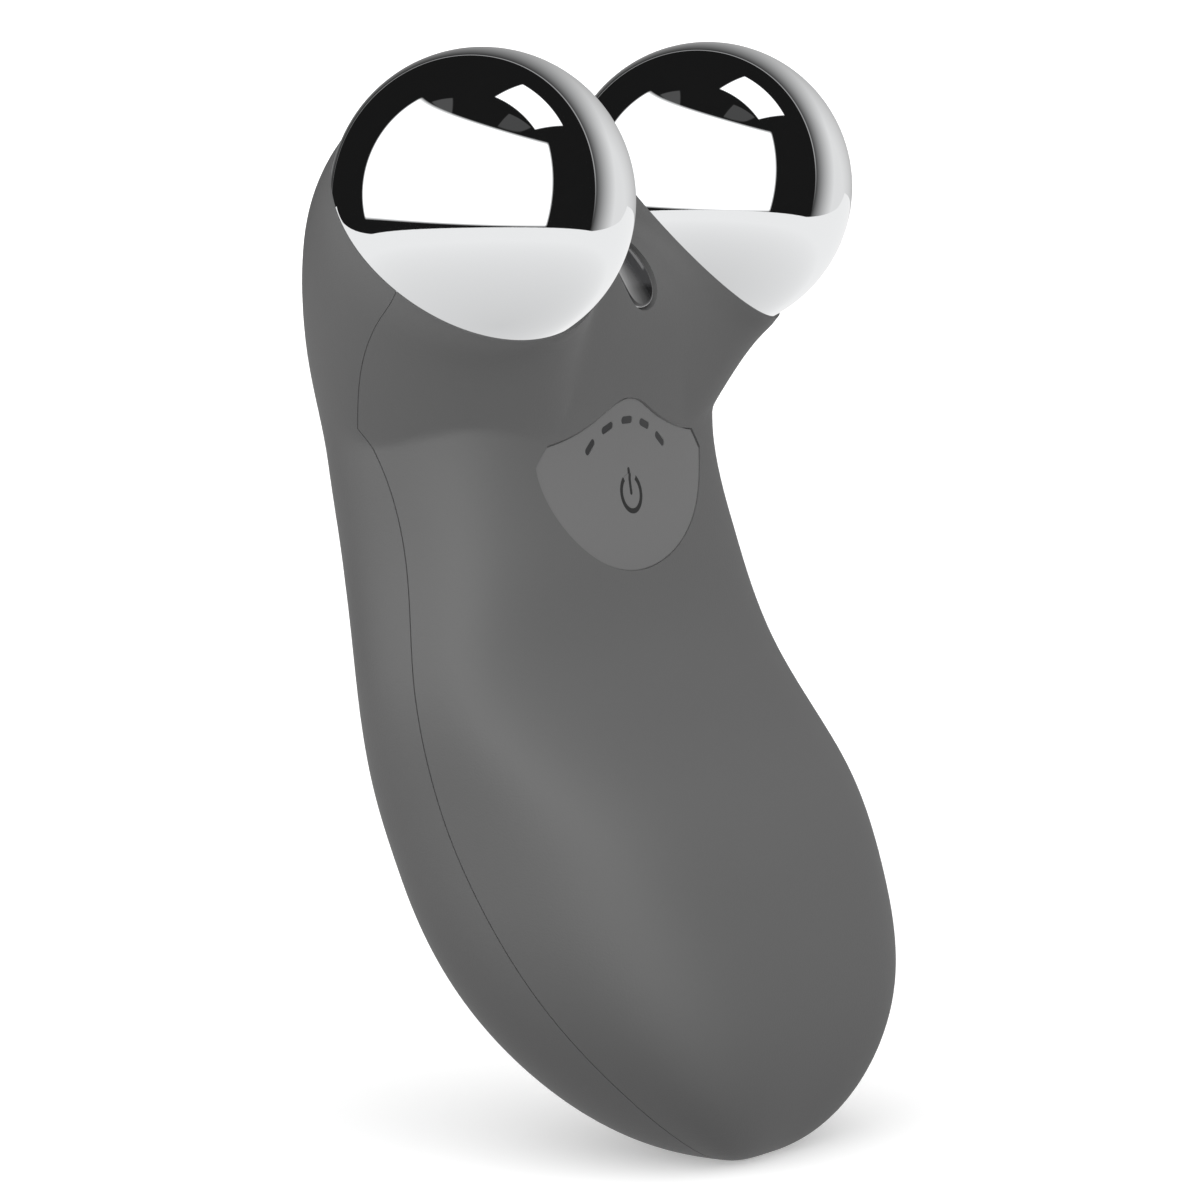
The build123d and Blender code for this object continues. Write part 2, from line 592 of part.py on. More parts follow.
def battery():
    half = CELL_THICKNESS / 2
    save("battery_cell", slab(CELL, CELL_WIDTH, CELL_LENGTH, -half, half, 1.0))
    save("battery_foam", slab(CELL, CELL_WIDTH - 4, CELL_LENGTH - 4, half, half + FOAM))
    tray = slab(CELL, 2 * TRAY_WING, CELL_LENGTH + 2, TRAY_FACE, TRAY_FACE + TRAY_PLATE, 2.0)
    side_x = CELL_WIDTH / 2 + TRAY_GAP + TRAY_SIDE / 2
    for x in (-side_x, side_x):
        tray += slab(on_cell(x, 0), TRAY_SIDE, CELL_LENGTH, TRAY_FACE - TRAY_SIDE_DEPTH, TRAY_FACE + 0.5)
    foot_d = -CELL_LENGTH / 2 - TRAY_GAP - TRAY_SIDE / 2
    tray += slab(on_cell(0, foot_d), 2 * side_x, TRAY_SIDE, TRAY_FACE - TRAY_SIDE_DEPTH, TRAY_FACE + 0.5)
    screws = []
    for x, d in TRAY_SPOTS:
        spot = on_cell(x, d)
        tray -= rod(spot, SCREW_R + SCREW_HOLE_CLEARANCE, TRAY_FACE - 1, TRAY_FACE + TRAY_PLATE + 1)
        head = Plane(origin=spot.origin + spot.z_dir * TRAY_FACE, x_dir=spot.x_dir, z_dir=-spot.z_dir)
        screws.append(screw(head) + rod(head, SCREW_R, -TRAY_PLATE - SCREW_BITE, SCREW_HEAD / 4))
    save("battery_tray", tray)
    save("tray_screws", *screws)
    back_face = BOARD_Y + BOARD_THICKNESS
    top = CELL.origin - CELL.y_dir * (CELL_LENGTH / 2)
    for name, x in (("red", 7.2), ("black", 8.8)):
        start = Vector(x, top.Y, top.Z)
        path = [start, start - CELL.y_dir * 2.0, (x, back_face + 1.85, 49.8),
                (x, back_face + 1.85, 58.2 - SOCKET_SIZE[1] / 2 - 3.5)]
        save(f"battery_lead_{name}", tube(path, LEAD_R))


def charging_inlet():
    face = -INLET_RECESS - INLET_MOUTH
    body = rod(INLET, INLET_BODY_R, -INLET_LENGTH, face)
    seal_top = -INLET_BOSS_DEPTH
    body += rod(INLET, INLET_FLANGE_R, seal_top - INLET_SEAL - INLET_FLANGE, seal_top - INLET_SEAL)
    body -= rod(INLET, INLET_BORE_R, face - INLET_BORE_DEPTH, 1)
    body -= rod(INLET, INLET_PIN_ROOT_R + INLET_FIT, -INLET_LENGTH - 1, face)
    save("inlet_body", body)
    root = rod(INLET, INLET_PIN_ROOT_R, -INLET_LENGTH - INLET_PIN_TAIL, face - INLET_BORE_DEPTH)
    pin = rod(INLET, INLET_PIN_R, face - INLET_BORE_DEPTH, face - INLET_PIN_SETBACK)
    save("inlet_pin", root + pin)
    save("inlet_seal", ring(INLET, INLET_BODY_R + INLET_FIT, INLET_FLANGE_R, seal_top - INLET_SEAL, seal_top))
    end = INLET.origin - INLET.z_dir * INLET_LENGTH
    for name, side in (("left", -1), ("right", 1)):
        start = end + Vector(side * 2.2, 0, 0)
        path = [start, start - INLET.z_dir * 4, (side * 10.5, -10.5, 18.5),
                (side * 18.6, -7.5, 25), (side * 20.6, -3.0, 34), (side * 19.2, -0.3, 42.5),
                (side * 14.5, -0.2, 48.2), (side * 10.8, 0.2, 53.6), (side * 10.8, BOARD_Y, 53.6)]
        save(f"{name}_inlet_lead", tube(path, LEAD_R))


if __name__ == "__main__":
    os.makedirs("parts", exist_ok=True)
    front_shell, back_shell = shells()
    save("front_shell", front_shell)
    save("back_shell", back_shell)
    button()
    saddle_lens()
    balls()
    board()
    battery()
    charging_inlet()
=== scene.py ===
import json
from math import cos, pi, radians, sin

import bmesh
import bpy
import numpy as np
from mathutils import Matrix, Vector

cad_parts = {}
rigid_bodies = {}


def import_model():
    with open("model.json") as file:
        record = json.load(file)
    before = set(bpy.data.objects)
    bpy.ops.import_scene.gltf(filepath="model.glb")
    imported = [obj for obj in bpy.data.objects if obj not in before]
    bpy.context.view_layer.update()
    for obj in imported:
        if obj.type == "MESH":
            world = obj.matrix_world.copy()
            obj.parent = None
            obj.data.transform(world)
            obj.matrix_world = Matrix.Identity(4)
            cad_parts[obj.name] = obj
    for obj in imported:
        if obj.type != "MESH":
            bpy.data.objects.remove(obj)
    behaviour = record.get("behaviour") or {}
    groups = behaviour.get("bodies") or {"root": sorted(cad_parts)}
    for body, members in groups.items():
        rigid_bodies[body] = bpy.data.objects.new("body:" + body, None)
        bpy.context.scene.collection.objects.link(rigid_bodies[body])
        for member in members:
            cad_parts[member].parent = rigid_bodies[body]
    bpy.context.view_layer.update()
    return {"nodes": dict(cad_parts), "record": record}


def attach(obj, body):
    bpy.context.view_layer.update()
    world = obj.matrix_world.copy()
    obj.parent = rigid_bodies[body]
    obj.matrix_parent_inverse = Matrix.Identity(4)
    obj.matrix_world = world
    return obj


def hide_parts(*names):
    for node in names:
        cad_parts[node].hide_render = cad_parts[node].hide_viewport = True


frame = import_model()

# A two-ball facial toner. Lengths are millimetres until a piece is finished, then metres.

# A rod, hole or bore is given as its radius, and its start and its end along its axis

# The balls. An arm's axis turns outwards by its splay and forwards by its lean
BALL_R, BALL_X, BALL_Y, BALL_Z = 14.5, 20.6, 1.6, 92.9
BALL_WALL, BALL_BOSS, BALL_BORE = 2.0, (4.0, -15, -6.0), (2.05, -16, -7.0)
BALL_GAP = 0.06                     # between a ball and its socket
SPLAY, LEAN = radians(14.8), radians(45.8)

# The arms. Each thins near its mouth, to lie close to the ball, and its spine ends upright in the neck
RIM_SETBACK, RIM_R, RIM_FALL, RIM_RUN = 3.5, 14.75, 0.45, 5.0
MOUTH_CLEAR, MOUTH_END = 0.3, 6
ARM_LENGTH, ARM_BEYOND = 34.0, 2.2
ARM_STRAIGHT, ARM_FOOT, ARM_UPRIGHT = 8.5, (10.4, 11.6, 64.0), 10.0
# How much each side of an arm has drawn in, at each quarter of its length: sides, back, front
ARM_TAPER = [(0, 0, 0), (0.45, 0.95, 0.55), (0.95, 1.55, 1.15), (1.85, 2.45, 2.25), (2.75, 3.35, 3.35)]

# The skin: its lines at some heights, and how square its sections are before and behind its widest line
HEIGHTS = [0, 14, 25, 36, 47, 58, 70, 82, 94]
HALF_WIDTHS = [20.6, 25.0, 26.7, 28.1, 28.8, 25.75, 24.7, 23.6, 23.0]
FRONT_LINE = [-25.7, -24.6, -21.5, -16.1, -6.0, -3.0, -1.5, -4.4, -3.8]
BACK_LINE = [8.2, 11.4, 14.3, 17.2, 18.7, 22.1, 23.6, 23.6, 23.6]
WIDEST_LINE = [-17.1, -9.0, -3.0, 1.8, 4.0, 6.9, 11.8, 12.4, 12.6]
FRONT_POWER, BACK_POWER = 3.6, 2.55
# It closes downwards over the base's rise, to a pole just below the table, and upwards over the saddle's
BASE_RISE, BASE_POWER, BASE_POLE, BASE_Y = 28.0, 2.3, 0.283, -15.1
SADDLE_TOP, SADDLE_RISE, SADDLE_Y = 92.5, 14.0, 9.9
# The rings of its mesh lie closer together near its ends, at these distances from them
BASE_STEPS = [0, 0.12, 0.3, 0.6, 1.0, 1.5, 2.1, 2.8, 3.6, 4.5]
CROWN_STEPS, CROWN_START = [2.4, 1.9, 1.45, 1.05, 0.75, 0.7], 2.5
VOXEL = 0.45

# What the shells are cut with. The back one rests on its flat, and the front one stops just above the table
WALL, SOCKET_WALL, FLAT_HEIGHT = 2.4, 1.6, 0.3
SEAM_FRONT, SEAM_BACK, SEAM_STEP = 0.07, 0.05, 0.5  # each shell stops this far from the line between them
STUD_HOLE, STUD_ROOM = (2.2, -18.5, -14), (6.0, -17.5, -12)
INLET_HEIGHT, INLET_TILT = 5.2, radians(37.7)
INLET_BOSS, INLET_BOSS_SKIN = (5.2, -4.8, 0), 0.6
INLET_RECESS, INLET_HOLE = (4.4, -1.4, 5), (3.45, -12, 5)
POST_XS, POST_Y, POST_ZS = (-14.5, 14.5), 4.0, (53.5, 71.5)
POST, POST_SKIN, SCREW_HOLE = (2.3, -7.2, 0), 1.5, (0.95, -3.4, 1)
STEM_HOLE, GUIDE_HOLE, HOLES_Y = (1.85, 0, 9), (0.95, 0, 9), -6

# The lens. Its face is dished: it lies deeper under the skin at its centre than at its edge
LENS_CENTRE, LENS_GAP, LENS_BED = (0.0, 86.0), 0.3, 1.8
LENS_EDGE, LENS_DISH, LENS_EDGE_R = 0.25, 0.6, 0.25

# The press pad. Its edge lies under the skin, and its middle stands proud
PAD_CENTRE, PAD_BED, PAD_BACK, PAD_EDGE_R = (0.0, 65.0), 1.5, 1.0, 0.12
PAD_SIDE_GAP, PAD_TOP_GAP, PAD_CORNER = 0.02, 0.15, 1.76
PAD_SUNK, PAD_CROWN = 0.12, -0.30
STEM_Y, STEM_Z, STEM = -2.0, 64.0, (1.8, 0, 3.15)
BAR_ARCH = {"Count": 5, "Arch Radius": 10.3, "Pitch": radians(19.3)}
BAR_ARCH_Z = 60.7
BAR_LENGTH, BAR_WIDTH, BAR_GAP, BAR_SUNK = 1.98, 0.73, 0.01, 0.07
MARK_Z, MARK_R, MARK_STROKE = 63.9, 1.75, 0.5
MARK_OPENING = 36.0                 # degrees to each side of the ring's top
MARK_BAR_Z, MARK_BAR_LENGTH, MARK_BAR_WIDTH = 65.05, 2.7, 0.42
MARK_DEPTH, MARK_GAP = 0.05, 0.01

# Where tools start and end that cut right through
FAR, ABOVE, BELOW = 60, 112, -8
BEFORE_FACE, BEHIND_FACE, BEHIND_LENS, BEHIND_MARK = -14, 14, 9, 1

# ------------------------------------------------------------------ the skin's formula


def natural_spline(stations, values, at):
    """Reads a cubic curve through the stations' values, unbent at its two ends, at some places."""
    n = len(stations)
    h = np.diff(stations)
    system = np.eye(n)
    right = np.zeros(n)
    for i in range(1, n - 1):
        system[i, i - 1:i + 2] = h[i - 1], 2 * (h[i - 1] + h[i]), h[i]
        right[i] = 6 * ((values[i + 1] - values[i]) / h[i] - (values[i] - values[i - 1]) / h[i - 1])
    bend = np.linalg.solve(system, right)
    at = np.asarray(at, float)
    k = np.clip(np.searchsorted(stations, at, side="right") - 1, 0, n - 2)
    step = h[k]
    stations, values = np.asarray(stations, float), np.asarray(values, float)
    a, b = (stations[k + 1] - at) / step, (at - stations[k]) / step
    curve = ((a**3 - a) * bend[k] + (b**3 - b) * bend[k + 1]) * step**2 / 6
    return a * values[k] + b * values[k + 1] + curve


def girth(z, inset):
    """Half width, front, back and widest line of the skin at each height, moved in by inset."""
    z = np.asarray(z, float)
    low = np.clip((z - inset + BASE_POLE) / BASE_RISE, 0, 1)
    shut = (1 - (1 - low) ** BASE_POWER) ** (1 / BASE_POWER)
    high = np.maximum((z + inset - (SADDLE_TOP - SADDLE_RISE)) / SADDLE_RISE, 0)
    crown = np.sqrt(np.maximum(1 - high**2, 0))
    half = natural_spline(HEIGHTS, HALF_WIDTHS, z) * shut * crown
    lines = []
    for line in (FRONT_LINE, BACK_LINE, WIDEST_LINE):
        y = BASE_Y + (natural_spline(HEIGHTS, line, z) - BASE_Y) * shut
        lines.append(SADDLE_Y + (y - SADDLE_Y) * crown)
    front, back, widest = lines
    share = (widest - front) / (back - front)
    front, back = front + inset, back - inset
    return half - inset, front, back, front + share * (back - front)


def front_surface(x, z, inset):
    """The skin's Y on its front side."""
    half, front, _, widest = girth(z, inset)
    fall = 1 - np.minimum(np.abs(x) / half, 1) ** FRONT_POWER
    return widest - (widest - front) * fall ** (1 / FRONT_POWER)


def skin_rings(inset, spacing, around):
    """Level rings of evenly spaced points up the skin, moved in by inset."""
    low = max(inset, 0)
    start = np.array(BASE_STEPS) + low
    top = SADDLE_TOP - low
    steady = np.arange(start[-1] + spacing, top - CROWN_START, spacing)
    end = top - np.array(CROWN_STEPS)
    rings = []
    theta = np.linspace(0, 2 * pi, 4 * 360 + 1)
    c, s = np.cos(theta), np.sin(theta)
    for z in np.concatenate([start, steady, end]):
        half, front, back, widest = girth(z, inset)
        power = np.where(s < 0, FRONT_POWER, BACK_POWER)
        depth = np.where(s < 0, widest - front, back - widest)
        x = half * np.sign(c) * np.abs(c) ** (2 / power)
        y = widest + depth * np.sign(s) * np.abs(s) ** (2 / power)
        run = np.concatenate([[0], np.cumsum(np.hypot(np.diff(x), np.diff(y)))])
        at = np.linspace(0, run[-1], around + 1)[:-1]
        rings.append(np.stack([np.interp(at, run, x), np.interp(at, run, y), np.full(around, z)], 1))
    return rings


def bezier(points, t):
    """The point at share t of a Bezier curve."""
    while len(points) > 1:
        points = [p * (1 - t) + q * t for p, q in zip(points, points[1:])]
    return points[0]


def ball_centre(side):
    return Vector((side * BALL_X, BALL_Y, BALL_Z))


def arm_axis(side):
    return Vector((side * sin(SPLAY), -cos(SPLAY) * sin(LEAN), cos(SPLAY) * cos(LEAN)))


def arm_rings(side, inset, beyond, spacing, around, rim_fall=0.0):
    """Rings down one arm, from its mouth (carried on by beyond, and thinned by rim_fall) to its root."""
    axis = arm_axis(side)
    mouth = ball_centre(side) - axis * RIM_SETBACK
    foot = Vector((side * ARM_FOOT[0], *ARM_FOOT[1:]))
    spine = [mouth, mouth - axis * ARM_STRAIGHT, foot + Vector((0, 0, ARM_UPRIGHT)), foot]
    stations = np.linspace(0, 1, len(ARM_TAPER))
    tapers = list(zip(*ARM_TAPER))
    rings = []
    theta = np.linspace(0, 2 * pi, around + 1)[:-1]
    steps = max(int(ARM_LENGTH / spacing), 8)
    for k in range(-1 if beyond else 0, steps + 1):
        t = max(k, 0) / steps
        centre = bezier(spine, t) + (axis * beyond if k < 0 else Vector())
        along = (bezier(spine, min(t + 0.001, 1)) - bezier(spine, max(t - 0.001, 0))).normalized()
        level = (Vector((1, 0, 0)) - along * along.x).normalized()
        cross = along.cross(level)
        rim = RIM_R - inset - rim_fall * max(1 - t * ARM_LENGTH / RIM_RUN, 0) ** 2
        wide, back, front = (rim - float(natural_spline(stations, drawn, t)) for drawn in tapers)
        ring = []
        for a in theta:
            deep = front if a < pi else back
            ring.append(list(centre + level * (wide * cos(a)) + cross * (deep * sin(a))))
        rings.append(np.array(ring))
    return rings


# ------------------------------------------------------------------ mesh helpers


def new_object(name, points, faces):
    """A mesh object whose faces look outwards and whose doubled points are joined."""
    mesh = bpy.data.meshes.new(name)
    mesh.from_pydata([tuple(p) for p in points], [], faces)
    body = bmesh.new()
    body.from_mesh(mesh)
    bmesh.ops.remove_doubles(body, verts=body.verts, dist=1e-5)
    bmesh.ops.recalc_face_normals(body, faces=body.faces)
    body.to_mesh(mesh)
    body.free()
    obj = bpy.data.objects.new(name, mesh)
    bpy.context.scene.collection.objects.link(obj)
    return obj


def loft(name, rings):
    """A closed body through rings of as many points each, with a fan over each end."""
    n = len(rings[0])
    points = np.concatenate([*rings, [rings[0].mean(0), rings[-1].mean(0)]])
    faces = []
    for k in range(len(rings) - 1):
        a, b = k * n, (k + 1) * n
        faces += [(a + i, a + (i + 1) % n, b + (i + 1) % n, b + i) for i in range(n)]
    first, last = len(points) - 2, len(points) - 1
    end = (len(rings) - 1) * n
    faces += [(first, (i + 1) % n, i) for i in range(n)]
    faces += [(last, end + i, end + (i + 1) % n) for i in range(n)]
    return new_object(name, points, faces)


def turned(name, profile, centre, axis, around):
    """A lathe-turned closed body. The profile is (radius, height along the axis) from axis to axis."""
    turn = axis.to_track_quat("Z", "Y").to_matrix()
    theta = np.linspace(0, 2 * pi, around + 1)[:-1]
    rings = []
    for r, h in profile:
        ring = [centre + turn @ Vector((r * cos(a), r * sin(a), h)) for a in theta]
        rings.append(np.array([list(p) for p in ring]))
    return loft(name, rings)


def sphere_profile(radius, steps):
    return [(radius * sin(pi * k / steps), -radius * cos(pi * k / steps)) for k in range(1, steps)]


def rod(centre, axis, radius, start, end, around=64):
    """A round rod along an axis, from start to end as measured from the centre."""
    return turned("rod", [(radius, start), (radius, end)], Vector(centre), Vector(axis), around)


def pushed(name, loop, start, end):
    """A drawing in X and Z pushed along Y."""
    loop = np.asarray(loop)
    rings = [np.stack([loop[:, 0], np.full(len(loop), y), loop[:, 1]], 1) for y in (start, end)]
    return loft(name, rings)


def cut(piece, *tools, operation="DIFFERENCE"):
    """Cuts, joins or intersects a piece with each tool, which is used up."""
    for tool in tools:
        modifier = piece.modifiers.new("cut", "BOOLEAN")
        modifier.operation, modifier.object, modifier.solver = operation, tool, "MANIFOLD"
        apply(piece)
        bpy.data.objects.remove(tool)
    return piece


def apply(piece):
    """Makes the piece's modifiers permanent."""
    graph = bpy.context.evaluated_depsgraph_get()
    mesh = bpy.data.meshes.new_from_object(piece.evaluated_get(graph))
    piece.modifiers.clear()
    old, piece.data = piece.data, mesh
    bpy.data.meshes.remove(old)


def copy_of(piece):
    """The piece and its mesh once more."""
    twin = piece.copy()
    twin.data = piece.data.copy()
    bpy.context.scene.collection.objects.link(twin)
    return twin


def relaxed(piece, rounds, weight=None):
    """Smooths a whole mesh without shrinking it, or with a weight, averages it where that is above 0."""
    mesh = piece.data
    count = len(mesh.vertices)
    points = np.empty(count * 3)
    mesh.vertices.foreach_get("co", points)
    points = points.reshape(-1, 3)
    edges = np.empty(len(mesh.edges) * 2, int)
    mesh.edges.foreach_get("vertices", edges)
    a, b = edges.reshape(-1, 2).T
    valence = (np.bincount(a, minlength=count) + np.bincount(b, minlength=count))[:, None]
    factors = [0.6] if weight is not None else [0.55, -0.57]
    share = 1.0 if weight is None else weight(points)[:, None]
    for _ in range(rounds):
        for factor in factors:
            total = np.empty_like(points)
            for k in range(3):
                total[:, k] = np.bincount(a, points[b, k], count) + np.bincount(b, points[a, k], count)
            points += factor * share * (total / valence - points)
    mesh.vertices.foreach_set("co", points.ravel())
    mesh.update()


def finish(piece, name, body, material, slot, *nodes, sharp=40):
    """Scales a piece from millimetres to metres and hands it to the frame."""
    piece.data.transform(Matrix.Scale(0.001, 4))
    piece.name = piece.data.name = name
    piece.data.materials.clear()
    piece.data.materials.append(material)
    piece.data.shade_smooth()
    piece.data.set_sharp_from_angle(angle=radians(sharp))
    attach(piece, body)
    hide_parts(*nodes)


# ------------------------------------------------------------------ material helpers


def srgb(code):
    """A hex colour's linear red, green, blue and alpha."""
    channels = [int(code[i:i + 2], 16) / 255 for i in (1, 3, 5)]
    return [c / 12.92 if c <= 0.04045 else ((c + 0.055) / 1.055) ** 2.4 for c in channels] + [1.0]


def node(tree, kind, inputs=None, **settings):
    """Adds a node, sets its settings, and sets or links its inputs."""
    made = tree.nodes.new(kind)
    for key, value in settings.items():
        setattr(made, key, value)
    for key, value in (inputs or {}).items():
        if isinstance(value, bpy.types.NodeSocket):
            tree.links.new(value, made.inputs[key])
        else:
            made.inputs[key].default_value = value
    return made


def finish_material(name, colour, roughness, metallic=0.0, grain_mm=0.0, grain_height_mm=0.0, tint=0.0,
                    mottle_mm=8.0, rough_spread=0.05, **sockets):
    """A moulded, plated or painted finish: a fine relief, and a slow drift of tone and gloss."""
    material = bpy.data.materials.new(name)
    material.use_nodes = True
    tree = material.node_tree
    tree.nodes.clear()
    place = node(tree, "ShaderNodeTexCoord").outputs["Object"]
    drift = node(tree, "ShaderNodeTexNoise", {"Vector": place, "Scale": 1000 / mottle_mm, "Detail": 3.0})
    low, high = ([c * k for c in srgb(colour)[:3]] + [1.0] for k in (1 - tint, 1 + tint))
    blend = node(tree, "ShaderNodeMix", {0: drift.outputs["Fac"], 6: low, 7: high}, data_type="RGBA")
    gloss = node(tree, "ShaderNodeMapRange", {"Value": drift.outputs["Fac"],
                                              "To Min": roughness - rough_spread,
                                              "To Max": roughness + rough_spread}).outputs["Result"]
    shader = node(tree, "ShaderNodeBsdfPrincipled", {"Base Color": blend.outputs[2], "Metallic": metallic,
                                                     "Roughness": gloss, **sockets})
    if grain_mm:
        grain = node(tree, "ShaderNodeTexNoise", {"Vector": place, "Scale": 1000 / grain_mm, "Detail": 2.0})
        bump = node(tree, "ShaderNodeBump", {"Height": grain.outputs["Fac"], "Strength": 1.0,
                                             "Distance": grain_height_mm / 1000})
        tree.links.new(bump.outputs["Normal"], shader.inputs["Normal"])
    node(tree, "ShaderNodeOutputMaterial", {"Surface": shader.outputs["BSDF"]})
    return material


# ABS with a sprayed soft-touch coat: a broad dull sheen, and a velvety grain, drawn at 0.22 mm to show
soft_touch = finish_material("soft_touch_coat_on_abs", "#5a5a5a", 0.55, grain_mm=0.22, grain_height_mm=0.024,
                             tint=0.03, mottle_mm=14, **{"Specular IOR Level": 0.2})
# The same coat on the pad's smoother moulding, a shade lighter
pad_coat = finish_material("soft_touch_coat_on_pad", "#686868", 0.5, grain_mm=0.22, grain_height_mm=0.016,
                           tint=0.02, mottle_mm=14, **{"Specular IOR Level": 0.2})
# Chrome plate on a polished brass ball: a mirror, with the faintest wiping marks
chrome = finish_material("chrome_plate_polished", "#f0f1f2", 0.02, metallic=1.0, tint=0.01, mottle_mm=20,
                         rough_spread=0.01)
# Smoked polycarbonate, polished: dark, with sharp reflections, and further down painted shade darkens its
# lower part
smoked_lens = finish_material("smoked_polycarbonate_polished_painted_shade", "#3b3b3c", 0.07, tint=0.05, mottle_mm=6,
                              rough_spread=0.02, **{"Coat Weight": 0.6, "Coat Roughness": 0.03})
# Smoked window plastic, moulded: near black, with a dull face
smoked_bar = finish_material("smoked_window_plastic", "#2a2a2b", 0.4, tint=0.05, mottle_mm=2,
                             **{"Specular IOR Level": 0.2})
# The mark's own dark moulding, a little duller than the windows
mark_moulding = finish_material("dark_grey_mark_moulding", "#1f1f1f", 0.45, tint=0.05, mottle_mm=2,
                                **{"Specular IOR Level": 0.2})
# Zinc-plated steel, barrel plated: a soft grey metal sheen
steel = finish_material("zinc_plated_steel", "#b9bcbf", 0.32, metallic=1.0, tint=0.05, mottle_mm=3,
                        grain_mm=0.15, grain_height_mm=0.004)
# Tin-plated brass, stamped: a warm, pale metal sheen
tinned = finish_material("tin_plated_brass", "#cbbf9a", 0.3, metallic=1.0, tint=0.06, mottle_mm=2)
# Silicone rubber, moulded and extruded: black and dull
rubber = finish_material("black_silicone_rubber", "#1b1b1b", 0.7, tint=0.1, grain_mm=0.2,
                         grain_height_mm=0.01)
# Clear polycarbonate, moulded: lets most light through
clear = finish_material("clear_polycarbonate", "#dfe3e4", 0.12, tint=0.02, **{"Transmission Weight": 0.6})
# Moulded epoxy: cream white and half glossy
led_body = finish_material("led_package_epoxy", "#efe9d2", 0.3, tint=0.03, mottle_mm=1)
# Solder mask, screened over the glass cloth of the board, whose weave shows faintly
solder_mask = finish_material("green_solder_mask_on_glass_epoxy", "#1c5a35", 0.3, tint=0.12, mottle_mm=2,
                              grain_mm=0.3, grain_height_mm=0.01)
# ABS, moulded in a spark-eroded mould: black with a fine even texture
black_abs = finish_material("black_abs_moulded", "#191919", 0.5, tint=0.12, grain_mm=0.2,
                            grain_height_mm=0.008)
# Undyed nylon, moulded: cream with a waxy sheen
nylon = finish_material("natural_nylon_moulded", "#ddd3b8", 0.45, tint=0.05, grain_mm=0.3,
                        grain_height_mm=0.008)
# Aluminium foil laminate, drawn over the cell: crinkled and silvery
foil = finish_material("aluminium_pouch_foil", "#c3c5c7", 0.3, metallic=1.0, tint=0.04, mottle_mm=5,
                       grain_mm=0.8, grain_height_mm=0.03)
# Silicone insulation, extruded: red with a dull sheen
red_jacket = finish_material("red_silicone_insulation", "#a31a16", 0.5, tint=0.08, grain_mm=0.4,
                             grain_height_mm=0.01)
# Closed-cell foam, sliced: dark, matt and pitted
foam = finish_material("closed_cell_foam", "#3a3a3a", 0.9, tint=0.15, grain_mm=0.35, grain_height_mm=0.08)

by_slot = {
    "soft_touch_grey": soft_touch, "pad_grey": pad_coat, "chrome_plate": chrome, "dark_lens": smoked_lens,
    "smoked_window": smoked_bar, "black_ink": mark_moulding, "steel": steel, "tinned_brass": tinned,
    "black_rubber": rubber, "clear_guide": clear, "led_white": led_body, "board_green": solder_mask,
    "black_plastic": black_abs, "cream_nylon": nylon, "foil_silver": foil, "tray_black": black_abs,
    "lead_red": red_jacket, "lead_black": rubber, "foam_grey": foam}
for entry in frame["record"]["subparts"]:
    part = frame["nodes"][entry["node"]]
    for holder in part.material_slots:
        holder.material = by_slot[entry["material_slot"]]

# ------------------------------------------------------------------ the two shells


def seam_prism(shift):
    """Everything in front of the line between the shells, moved forwards by shift."""
    handle = [(-15.6, 0), (-15.5, 2), (-14.5, 5), (-12.5, 9), (-8.9, 15), (-3.6, 24), (1.1, 34),
              (3.6, 45), (6.9, 58), (10.6, 68), (12.7, 71.2)]
    head = [(12.7, 71.2), (9.8, 77.2), (5.9, 82), (3.2, 85), (2.6, 90), (2.6, ABOVE)]
    outline = []
    for line in (handle, head):
        y, z = np.array(line, float).T
        run = np.concatenate([[0], np.cumsum(np.hypot(np.diff(y), np.diff(z)))])
        at = np.linspace(0, run[-1], int(run[-1] / SEAM_STEP))
        outline += list(zip(natural_spline(run, y, at) - shift, natural_spline(run, z, at)))
        outline.pop()
    outline += [(head[-1][0] - shift, ABOVE), (-FAR, ABOVE), (-FAR, BELOW), (handle[0][0] - shift, BELOW)]
    loop = np.array(outline)
    rings = [np.stack([np.full(len(loop), x), loop[:, 0], loop[:, 1]], 1) for x in (-FAR, FAR)]
    n = len(loop)
    faces = [(i, (i + 1) % n, n + (i + 1) % n, n + i) for i in range(n)]
    faces += [tuple(range(n - 1, -1, -1)), tuple(range(n, 2 * n))]
    return new_object("seam", np.concatenate(rings), faces)


def cubic(a, b, c, d, steps):
    """Points along a Bezier curve, without its last."""
    t = np.linspace(0, 1, steps + 1)[:-1, None]
    a, b, c, d = (np.array(p, float) for p in (a, b, c, d))
    return a * (1 - t) ** 3 + 3 * b * t * (1 - t) ** 2 + 3 * c * t**2 * (1 - t) + d * t**3


def rounded(loop, corner, reach):
    """Rounds a corner of the loop by averaging the points within reach of it."""
    loop = loop.copy()
    near = np.hypot(*(loop - corner).T) < reach
    for _ in range(60):
        smooth = (np.roll(loop, 1, 0) + np.roll(loop, -1, 0)) / 2
        loop[near] = smooth[near]
    return loop


def pad_loop(sides=0.0, top=0.0):
    """The pad's outline, grown by sides, and by top along its two upper edges."""
    x, z = 15.2 + sides, 68.95 + top
    apex, low = 73.1 + top, 56.4 - sides
    right = np.concatenate([cubic((0, apex), (3.6, apex), (5.0, z + 0.95), (x, z), 60),
                            cubic((x, z), (x + 0.5, z - 7), (8.0 + sides, low), (0, low), 70)])
    left = right[1:][::-1] * [-1, 1]
    loop = np.concatenate([right, [[0, low]], left])
    loop = rounded(loop, (x, z), PAD_CORNER)
    return rounded(loop, (-x, z), PAD_CORNER)


